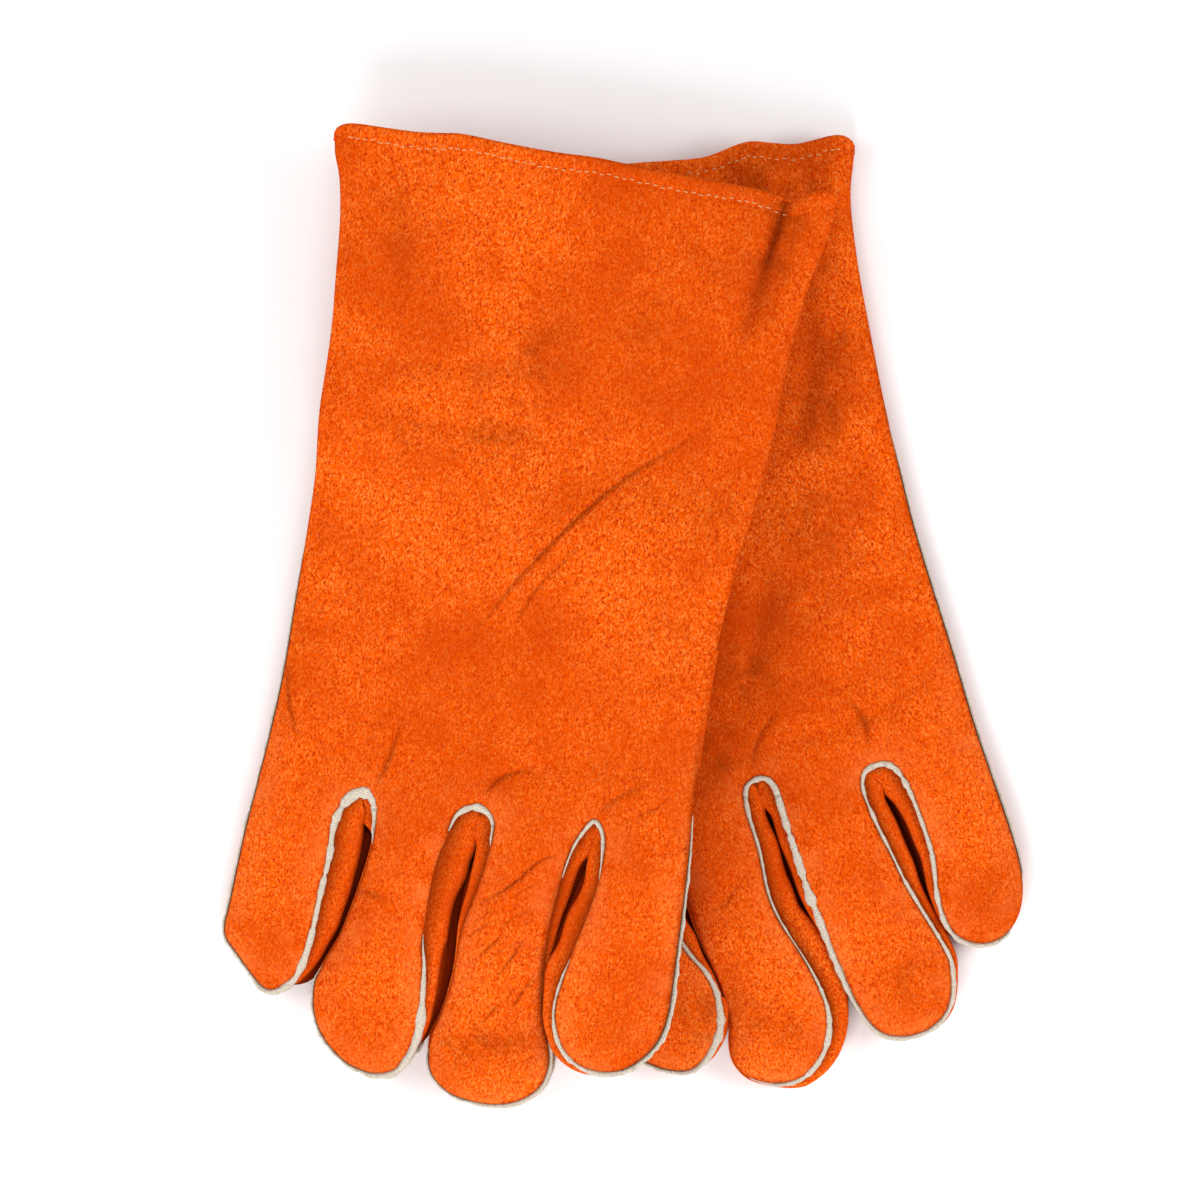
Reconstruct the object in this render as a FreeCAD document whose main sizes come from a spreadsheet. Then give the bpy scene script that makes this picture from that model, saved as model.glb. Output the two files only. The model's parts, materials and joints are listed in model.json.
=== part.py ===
import FreeCAD, Part
import Sketcher
import math
import os

from FreeCAD import Placement, Rotation, Vector

# A pair of 14 inch gauntlet welding gloves in split leather, lying palm down.  The left glove lies flat
# on the surface and the right glove lies across it, its little-finger side on the surface and its other
# side up on the left glove.  +Z is up, the fingers point to -Y and the cuffs to +Y.
#
# Every glove is sewn from a back, a palm, strips between the fingers (fourchettes), a thumb, a lining and
# narrow leather welts that are caught in the seams.  The one-piece back and palm are cut at the wrist and
# at the knuckles here, so that the cuff, the hand and each finger can be a rigid body of its own.
#
# Each body has a frame at its hinge, half way up its thickness.  A cuff or hand frame has Y towards the
# hem, and a finger frame has Y towards the fingertip.

doc = FreeCAD.newDocument("WeldingGloves")
sheet = doc.addObject("Spreadsheet::Sheet", "Sizes")

CELLS = [
    # material thicknesses
    ("leather", 1.8, "split cowhide"),
    ("welt", 1.2, "leather strip in each seam"),
    ("welt_proud", 1.0, "how far a welt stands out of its seam"),
    ("welt_deep", 1.6, "how far a welt reaches into its seam"),
    ("lining", 0.8, "cotton lining"),
    ("slack", 0.3, "gap between lining and leather"),
    ("thread", 0.6, "sewing thread"),
    ("slit", 0.2, "gap between a fourchette's two legs at the fingertip"),
    ("past_end", 5, "how far a hollow is cut past an open end"),
    # thickness of each part as it lies
    ("cuff_high", 13, "cuff"),
    ("hand_high", 15, "hand"),
    ("digit_high", 17, "finger"),
    ("thumb_high", 12, "thumb"),
    # cuff and hand outlines, from the middle of the wrist
    ("hem_half", 95.5, "half width of the cuff at its hem"),
    ("wrist_half", 80, "half width at the wrist"),
    ("knuckle_half", 82, "half width of the hand at the knuckles"),
    ("cuff_start", 11, "wrist hinge to the end of the cuff"),
    ("hand_start", 6, "wrist hinge to the end of the hand"),
    ("knuckle_little", 118.5, "wrist to the end of the hand, little side"),
    ("knuckle_index", 112, "wrist to the end of the hand, index side"),
    ("right_hem_little", 127, "wrist to hem, little side"),
    ("right_hem_index", 133, "wrist to hem, index side"),
    ("left_hem_little", 115, "wrist to hem, little side"),
    ("left_hem_index", 133, "wrist to hem, index side"),
    ("right_wrist_skew", 1, "how much further out the cuff starts on its little side"),
    ("left_wrist_skew", 7.2, "how much further out the cuff starts on its little side"),
    ("hem_stitch", 5.5, "hem to its stitching"),
    # digits, from their hinges
    ("digit_root", 7, "hinge back to the end of a finger's solids"),
    ("thumb_root", 3, "hinge back to the end of a thumb's solids"),
    ("little_long", 66, "hinge to fingertip"),
    ("ring_long", 92, "hinge to fingertip"),
    ("middle_long", 98, "hinge to fingertip"),
    ("index_long", 82, "hinge to fingertip"),
    ("thumb_long", 66, "hinge to thumb tip"),
    ("little_half", 18, "half width"),
    ("ring_half", 20.5, "half width"),
    ("middle_half", 21, "half width"),
    ("index_half", 19, "half width"),
    ("thumb_half", 18, "half width"),
    ("tip_round", 15, "corner radius at a fingertip"),
    # thumb reinforcement on the side of the hand
    ("strap_near", 42, "wrist to the strap"),
    ("strap_far", 88, "wrist to the strap's end"),
    ("strap_high", 9, "width of the strap"),
    ("strap_thick", 1.4, "thickness of the strap"),
]
for row, (alias, value, note) in enumerate(CELLS, start=1):
    sheet.set(f"A{row}", note)
    sheet.set(f"B{row}", str(value))
    sheet.setAlias(f"B{row}", alias)
doc.recompute()

DIGITS = ("little", "ring", "middle", "index")

# Where the finger hinges are in the hand: across the hand towards the index side, from the wrist towards
# the fingertips, and how far each finger splays towards the index side.
HINGES = {
    "little": (-62.8, 131, 0),
    "ring": (-20.4, 130, -1),
    "middle": (24.8, 127, 1.5),
    "index": (67.5, 124.5, 4),
}

# How the two gloves lie.  index_side is the sign of X towards the index finger.  Each pose is the middle
# of the wrist, then turns about Z, about the long axis and about the axis across.  A finger's pose is its
# lift above the hand's middle, its turn about its long axis and its droop, both on top of the hand's.
GLOVES = {
    "right": {
        "index_side": 1,
        "wrist": (-39.2, 43.3, 33.8),
        "cuff_turn": (-10, -4, 2.6),
        "hand_turn": (-10.5, -12.2, 2.9),
        "fingers": {
            "little": (0.6, -6, 1.5),
            "ring": (0.2, -6, 3.4),
            "middle": (0.2, -4, 6.6),
            "index": (0.5, -2, 5.5),
        },
        "thumb": {"at": (62, 26, -13.9), "out": 0},
    },
    "left": {
        "index_side": -1,
        "wrist": (18.2, 49.1, 7.5),
        "cuff_turn": (12.1, 0, 0),
        "hand_turn": (17, 0, 0),
        "fingers": {digit: (1, 0, 0) for digit in DIGITS},
        "thumb": {"at": (102, 16, -1.5), "out": 12},
    },
}


def size(expression):
    """The value of an expression of the sheet's cells."""
    found = sheet.evalExpression(expression)
    return float(getattr(found, "Value", found))


def cells(expression):
    """The expression with each alias written as a reference to the sheet."""
    words = expression.replace("(", "( ").replace(")", " )").split()
    aliases = {alias for alias, value, note in CELLS}
    return " ".join("Sizes." + word if word in aliases else word for word in words)


class Outline:
    """A closed sketch at a height in its own body, with every size bound to the sheet."""

    def __init__(self, body, height):
        self.sketch = body.newObject("Sketcher::SketchObject", body.Name + "_sketch")
        plane = [f for f in body.Origin.OriginFeatures if f.Role == "XY_Plane"][0]
        self.sketch.AttachmentSupport = [(plane, "")]
        self.sketch.MapMode = "FlatFace"
        self.sketch.setExpression(".AttachmentOffset.Base.z", cells(height))

    def place(self, geometry, point, across, along):
        """Holds a point at a place from the origin; both distances are expressions."""
        for kind, expression in (("DistanceX", across), ("DistanceY", along)):
            value = size(cells(expression))
            if value < 0:
                self.bind(kind, "-1 * ( " + expression + " )", geometry, point, -1, 1)
            else:
                self.bind(kind, expression, -1, 1, geometry, point)

    def bind(self, kind, expression, *where):
        made = self.sketch.addConstraint(Sketcher.Constraint(kind, *where, size(cells(expression))))
        self.sketch.setExpression(f"Constraints[{made}]", cells(expression))

    def polygon(self, corners):
        """Straight sides through corners, each (across, along) as expressions."""
        points = [Vector(size(cells(a)), size(cells(b)), 0) for a, b in corners]
        count = len(points)
        for i in range(count):
            self.sketch.addGeometry(Part.LineSegment(points[i], points[(i + 1) % count]))
        for i in range(count):
            self.sketch.addConstraint(Sketcher.Constraint("Coincident", i, 2, (i + 1) % count, 1))
        for i, (across, along) in enumerate(corners):
            self.place(i, 1, across, along)
        return self

    def digit(self, half, long, inset, root):
        """A finger's plan: straight sides and a round-cornered tip, drawn in by inset."""
        side, tip = f"{half} - {inset}", f"{long} - {inset}"
        corner = f"tip_round - {inset}"
        x, y, r, start = (size(cells(e)) for e in (side, tip, corner, root))
        up = Vector(0, 0, 1)
        quarter = math.pi / 2
        right = Part.ArcOfCircle(Part.Circle(Vector(x - r, y - r, 0), up, r), 0, quarter)
        left = Part.ArcOfCircle(Part.Circle(Vector(r - x, y - r, 0), up, r), quarter, 2 * quarter)
        self.sketch.addGeometry(Part.LineSegment(Vector(-x, -start, 0), Vector(x, -start, 0)))
        self.sketch.addGeometry(Part.LineSegment(Vector(x, -start, 0), Vector(x, y - r, 0)))
        self.sketch.addGeometry(right)
        self.sketch.addGeometry(Part.LineSegment(Vector(x - r, y, 0), Vector(r - x, y, 0)))
        self.sketch.addGeometry(left)
        self.sketch.addGeometry(Part.LineSegment(Vector(-x, y - r, 0), Vector(-x, -start, 0)))
        for a, b in ((0, 1), (5, 0)):
            self.sketch.addConstraint(Sketcher.Constraint("Coincident", a, 2, b, 1))
        for a, b in ((1, 2), (2, 3), (3, 4), (4, 5)):
            self.sketch.addConstraint(Sketcher.Constraint("Tangent", a, 2, b, 1))
        self.sketch.addConstraint(Sketcher.Constraint("Horizontal", 3))
        self.place(0, 1, "-1 * ( " + side + " )", "-1 * ( " + root + " )")
        self.place(1, 1, side, "-1 * ( " + root + " )")
        self.bind("DistanceX", side + " - ( " + corner + " )", -1, 1, 2, 3)
        self.bind("DistanceX", side + " - ( " + corner + " )", 4, 3, -1, 1)
        self.bind("DistanceY", tip, -1, 1, 3, 1)
        self.bind("Radius", corner, 2)
        self.bind("Radius", corner, 4)
        return self


class Piece:
    """One sub-part: a PartDesign body that is padded and pocketed in its hinge's frame."""

    def __init__(self, label, placement):
        self.body = doc.addObject("PartDesign::Body", label)
        self.body.Label = label
        self.body.AllowCompound = True
        self.body.Placement = placement

    def outline(self, height):
        return Outline(self.body, height)

    def pad(self, outline, thickness):
        pad = self.body.newObject("PartDesign::Pad", self.body.Name + "_pad")
        pad.Profile = outline.sketch
        pad.setExpression("Length", cells(thickness))
        self.body.Tip = pad
        doc.recompute()
        return self

    def pocket(self, outline, thickness):
        """Cuts upwards from the outline's height."""
        before = self.body.Shape.Volume
        pocket = self.body.newObject("PartDesign::Pocket", self.body.Name + "_pocket")
        pocket.Profile = outline.sketch
        pocket.Reversed = True
        pocket.setExpression("Length", cells(thickness))
        self.body.Tip = pocket
        doc.recompute()
        if not self.body.Shape.Volume < before - 0.1:
            raise RuntimeError(f"a pocket of {self.body.Label} cut nothing")
        return self


def bottom(high):
    return f"-0.5 * {high}"


def cuff_pieces(glove, placement):
    index = GLOVES[glove]["index_side"]
    little_hem, index_hem = f"{glove}_hem_little", f"{glove}_hem_index"
    skew = f"{glove}_wrist_skew"

    def corners(inset, past="0"):
        """The cuff's four corners, drawn in by inset, with its sides carried on past both ends."""

        def half(side, at, sign):
            start, hem = side
            flare = f"( hem_half - wrist_half ) / ( {hem} - ( {start} ) )"
            return f"{at} - {inset} {sign} {past} * {flare}"

        little, thumb = (f"cuff_start + {skew}", little_hem), ("cuff_start", index_hem)
        return [
            (f"{-index} * ( {half(little, 'wrist_half', '-')} )", f"{little[0]} - {past}"),
            (f"{index} * ( {half(thumb, 'wrist_half', '-')} )", f"{thumb[0]} - {past}"),
            (f"{index} * ( {half(thumb, 'hem_half', '+')} )", f"{thumb[1]} + {past}"),
            (f"{-index} * ( {half(little, 'hem_half', '+')} )", f"{little[1]} + {past}"),
        ]

    back = Piece(f"{glove}_cuff_back", placement)
    back.pad(back.outline("0.5 * cuff_high - leather").polygon(corners("0")), "leather")

    palm = Piece(f"{glove}_cuff_palm", placement)
    palm.pad(palm.outline(bottom("cuff_high")).polygon(corners("0")), "cuff_high - leather - welt")
    inside = palm.outline(bottom("cuff_high") + " + leather").polygon(corners("leather", "past_end"))
    palm.pocket(inside, "cuff_high")

    welts = Piece(f"{glove}_cuff_welts", placement)
    level = "0.5 * cuff_high - leather - welt"
    welts.pad(welts.outline(level).polygon(corners("( -1 * welt_proud )")), "welt")
    welts.pocket(welts.outline(level).polygon(corners("welt_deep", "past_end")), "welt")

    lining = Piece(f"{glove}_cuff_lining", placement)
    outer = "( leather + slack )"
    low = bottom("cuff_high") + " + leather + slack"
    lining.pad(lining.outline(low).polygon(corners(outer)), "cuff_high - 2 * leather - 2 * slack")
    hollow = lining.outline(low + " + lining").polygon(corners(outer + " - lining", "past_end"))
    lining.pocket(hollow, "cuff_high - 2 * leather - 2 * slack - 2 * lining")

    seam = Piece(f"{glove}_hem_thread", placement)
    edge = "hem_half - hem_stitch"
    line = [
        (f"{-index} * ( {edge} )", f"{little_hem} - hem_stitch - thread"),
        (f"{index} * ( {edge} )", f"{index_hem} - hem_stitch - thread"),
        (f"{index} * ( {edge} )", f"{index_hem} - hem_stitch"),
        (f"{-index} * ( {edge} )", f"{little_hem} - hem_stitch"),
    ]
    seam.pad(seam.outline("0.5 * cuff_high").polygon(line), "thread")


def hand_pieces(glove, placement):
    index = GLOVES[glove]["index_side"]

    def corners(inset, past="0"):
        wrist, knuckle = f"wrist_half - {inset}", f"knuckle_half - {inset}"
        return [
            (f"{-index} * ( {knuckle} )", f"-1 * knuckle_little - {past}"),
            (f"{index} * ( {knuckle} )", f"-1 * knuckle_index - {past}"),
            (f"{index} * ( {wrist} )", f"hand_start + {past}"),
            (f"{-index} * ( {wrist} )", f"hand_start + {past}"),
        ]

    back = Piece(f"{glove}_hand_back", placement)
    back.pad(back.outline("0.5 * hand_high - leather").polygon(corners("0")), "leather")

    palm = Piece(f"{glove}_hand_palm", placement)
    palm.pad(palm.outline(bottom("hand_high")).polygon(corners("0")), "hand_high - leather - welt")
    inside = palm.outline(bottom("hand_high") + " + leather").polygon(corners("leather", "past_end"))
    palm.pocket(inside, "hand_high")

    welts = Piece(f"{glove}_hand_welts", placement)
    level = "0.5 * hand_high - leather - welt"
    welts.pad(welts.outline(level).polygon(corners("( -1 * welt_proud )")), "welt")
    welts.pocket(welts.outline(level).polygon(corners("welt_deep", "past_end")), "welt")

    lining = Piece(f"{glove}_hand_lining", placement)
    outer = "( leather + slack )"
    low = bottom("hand_high") + " + leather + slack"
    lining.pad(lining.outline(low).polygon(corners(outer)), "hand_high - 2 * leather - 2 * slack")
    hollow = lining.outline(low + " + lining").polygon(corners(outer + " - lining", "past_end"))
    lining.pocket(hollow, "hand_high - 2 * leather - 2 * slack - 2 * lining")

    strap = Piece(f"{glove}_thumb_strap", placement)
    inner, outer = f"{index} * knuckle_half", f"{index} * ( knuckle_half + strap_thick )"
    near, far = "-1 * strap_near", "-1 * strap_far"
    box = [(inner, near), (outer, near), (outer, far), (inner, far)]
    strap.pad(strap.outline("-0.5 * strap_high").polygon(box), "strap_high")


def finger_pieces(glove, digit, placement):
    half, long, root, high = f"{digit}_half", f"{digit}_long", "digit_root", "digit_high"
    label = f"{glove}_{digit}"
    # X of a finger's frame points away from the index side on the right glove.
    outer = {"little": 1, "index": -1}.get(digit, 0) * GLOVES[glove]["index_side"]
    floor = bottom(high) + " + leather"
    wall = "digit_high - 2 * leather - welt"

    back = Piece(f"{label}_back", placement)
    back.pad(back.outline("0.5 * digit_high - leather").digit(half, long, "0", root), "leather")

    def one_side(piece, sign, height):
        """Cuts the wall away on one side of the finger's middle, or a slit where sign is 0."""
        a, b = ("0", f"{sign} * ( {half} + past_end )") if sign else ("-0.5 * slit", "0.5 * slit")
        near, far = f"-1 * {root} - past_end", f"{long} + past_end"
        box = [(a, near), (b, near), (b, far), (a, far)]
        piece.pocket(piece.outline(height).polygon(box), "digit_high")

    palm = Piece(f"{label}_palm", placement)
    if outer:
        palm.pad(palm.outline(bottom(high)).digit(half, long, "0", root), "digit_high - leather - welt")
        palm.pocket(palm.outline(floor).digit(half, long, "leather", root + " + past_end"), "digit_high")
        one_side(palm, -outer, floor)
    else:
        palm.pad(palm.outline(bottom(high)).digit(half, long, "0", root), "leather")

    sides = Piece(f"{label}_fourchette" + ("" if outer else "s"), placement)
    sides.pad(sides.outline(floor).digit(half, long, "0", root), wall)
    sides.pocket(sides.outline(floor).digit(half, long, "leather", root + " + past_end"), wall)
    one_side(sides, outer, floor)

    ring = Piece(f"{label}_welt", placement)
    level = "0.5 * digit_high - leather - welt"
    ring.pad(ring.outline(level).digit(half, long, "( -1 * welt_proud )", root), "welt")
    ring.pocket(ring.outline(level).digit(half, long, "welt_deep", root + " + past_end"), "welt")


def thumb_pieces(glove, placement):
    half, long, root, high = "thumb_half", "thumb_long", "thumb_root", "thumb_high"
    floor = bottom(high) + " + leather"

    back = Piece(f"{glove}_thumb_back", placement)
    back.pad(back.outline("0.5 * thumb_high - leather").digit(half, long, "0", root), "leather")

    front = Piece(f"{glove}_thumb_front", placement)
    front.pad(front.outline(bottom(high)).digit(half, long, "0", root), "thumb_high - leather - welt")
    front.pocket(front.outline(floor).digit(half, long, "leather", root + " + past_end"), high)

    ring = Piece(f"{glove}_thumb_welt", placement)
    level = "0.5 * thumb_high - leather - welt"
    ring.pad(ring.outline(level).digit(half, long, "( -1 * welt_proud )", root), "welt")
    ring.pocket(ring.outline(level).digit(half, long, "welt_deep", root + " + past_end"), "welt")

    lining = Piece(f"{glove}_thumb_lining", placement)
    outer = "( leather + slack )"
    inner = "( leather + slack + lining )"
    low = floor + " + slack"
    lining.pad(lining.outline(low).digit(half, long, outer, root), "thumb_high - 2 * leather - 2 * slack")
    hollow = lining.outline(low + " + lining").digit(half, long, inner, root + " + past_end")
    lining.pocket(hollow, "thumb_high - 2 * leather - 2 * slack - 2 * lining")


def frames(glove):
    """Each body's hinge frame."""
    pose = GLOVES[glove]
    index = pose["index_side"]
    wrist = Vector(*pose["wrist"])
    cuff_drop = Vector(0, 0, (size("Sizes.cuff_high") - size("Sizes.hand_high")) / 2)
    hand = Placement(wrist, Rotation(*pose["hand_turn"]))
    made = {"hand": hand, "cuff": Placement(wrist + cuff_drop, Rotation(*pose["cuff_turn"]))}
    for digit, (across, along, splay) in HINGES.items():
        lift, bank, droop = pose["fingers"][digit]
        turn = Rotation(180 + index * splay, bank * index, -droop)
        made[digit] = hand.multiply(Placement(Vector(index * across, -along, lift), turn))
    thumb = pose["thumb"]
    across, along, lift = thumb["at"]
    turn = Rotation(180 + index * thumb["out"], 0, 0)
    made["thumb"] = hand.multiply(Placement(Vector(index * across, -along, lift), turn))
    return made


def build():
    for glove in GLOVES:
        frame = frames(glove)
        cuff_pieces(glove, frame["cuff"])
        hand_pieces(glove, frame["hand"])
        for digit in DIGITS:
            finger_pieces(glove, digit, frame[digit])
        thumb_pieces(glove, frame["thumb"])
    doc.recompute()


def write():
    for thing in doc.Objects:
        if "Invalid" in thing.State or "Error" in thing.State:
            raise RuntimeError(f"{thing.Label} failed: {thing.State}")
    pieces = [thing for thing in doc.Objects if thing.TypeId == "PartDesign::Body"]
    for piece in pieces:
        if piece.Shape.isNull() or not piece.Shape.isValid():
            raise RuntimeError(f"{piece.Label} has no valid shape")
    os.makedirs("parts", exist_ok=True)
    for piece in pieces:
        piece.Shape.exportStep(f"parts/{piece.Label}.step")
    whole = Part.makeCompound([piece.Shape for piece in pieces]).BoundBox
    print(len(pieces), "sub-parts", whole)


build()
write()
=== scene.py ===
"""A pair of orange split-leather welding gloves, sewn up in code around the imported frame."""

import json
import math
from collections import namedtuple

import bpy
import numpy as np
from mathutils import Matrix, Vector, noise
from mathutils.geometry import delaunay_2d_cdt


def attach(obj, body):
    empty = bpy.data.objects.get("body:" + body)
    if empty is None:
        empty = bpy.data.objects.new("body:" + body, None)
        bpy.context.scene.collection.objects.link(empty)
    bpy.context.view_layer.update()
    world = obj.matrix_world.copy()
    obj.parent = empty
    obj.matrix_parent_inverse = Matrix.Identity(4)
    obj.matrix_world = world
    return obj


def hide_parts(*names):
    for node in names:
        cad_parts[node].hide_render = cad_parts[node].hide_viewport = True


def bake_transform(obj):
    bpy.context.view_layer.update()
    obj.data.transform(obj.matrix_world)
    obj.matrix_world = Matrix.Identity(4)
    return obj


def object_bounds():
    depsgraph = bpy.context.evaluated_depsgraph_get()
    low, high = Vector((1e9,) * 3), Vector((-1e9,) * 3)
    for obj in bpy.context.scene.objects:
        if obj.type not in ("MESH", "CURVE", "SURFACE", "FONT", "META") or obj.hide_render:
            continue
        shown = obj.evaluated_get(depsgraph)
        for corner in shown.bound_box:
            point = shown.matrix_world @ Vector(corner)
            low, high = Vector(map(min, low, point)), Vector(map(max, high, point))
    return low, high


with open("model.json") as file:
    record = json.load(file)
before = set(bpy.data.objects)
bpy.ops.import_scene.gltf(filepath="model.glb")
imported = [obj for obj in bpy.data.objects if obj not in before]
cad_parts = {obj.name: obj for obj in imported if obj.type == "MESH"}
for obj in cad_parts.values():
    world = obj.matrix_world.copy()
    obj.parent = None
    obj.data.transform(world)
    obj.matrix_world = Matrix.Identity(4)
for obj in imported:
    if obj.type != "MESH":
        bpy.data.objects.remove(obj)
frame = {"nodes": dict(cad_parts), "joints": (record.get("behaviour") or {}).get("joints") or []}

CAD_BOX = [list(corner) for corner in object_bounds()]

# Everything is worked out in millimetres and made in metres.
MM = 0.001
DIGITS = ("little", "ring", "middle", "index")

# One side of a finger: the seam's points (u, v), and in even steps along them how far the seam lies above the
# middle of the glove's thickness, how far the fourchette bulges out past it, and how wide its welt shows.
Side = namedtuple("Side", "digit points high wall welt")
Pattern = namedtuple("Pattern", "hem sides creases stains")
STEPPED = ("high", "wall", "welt")

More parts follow.
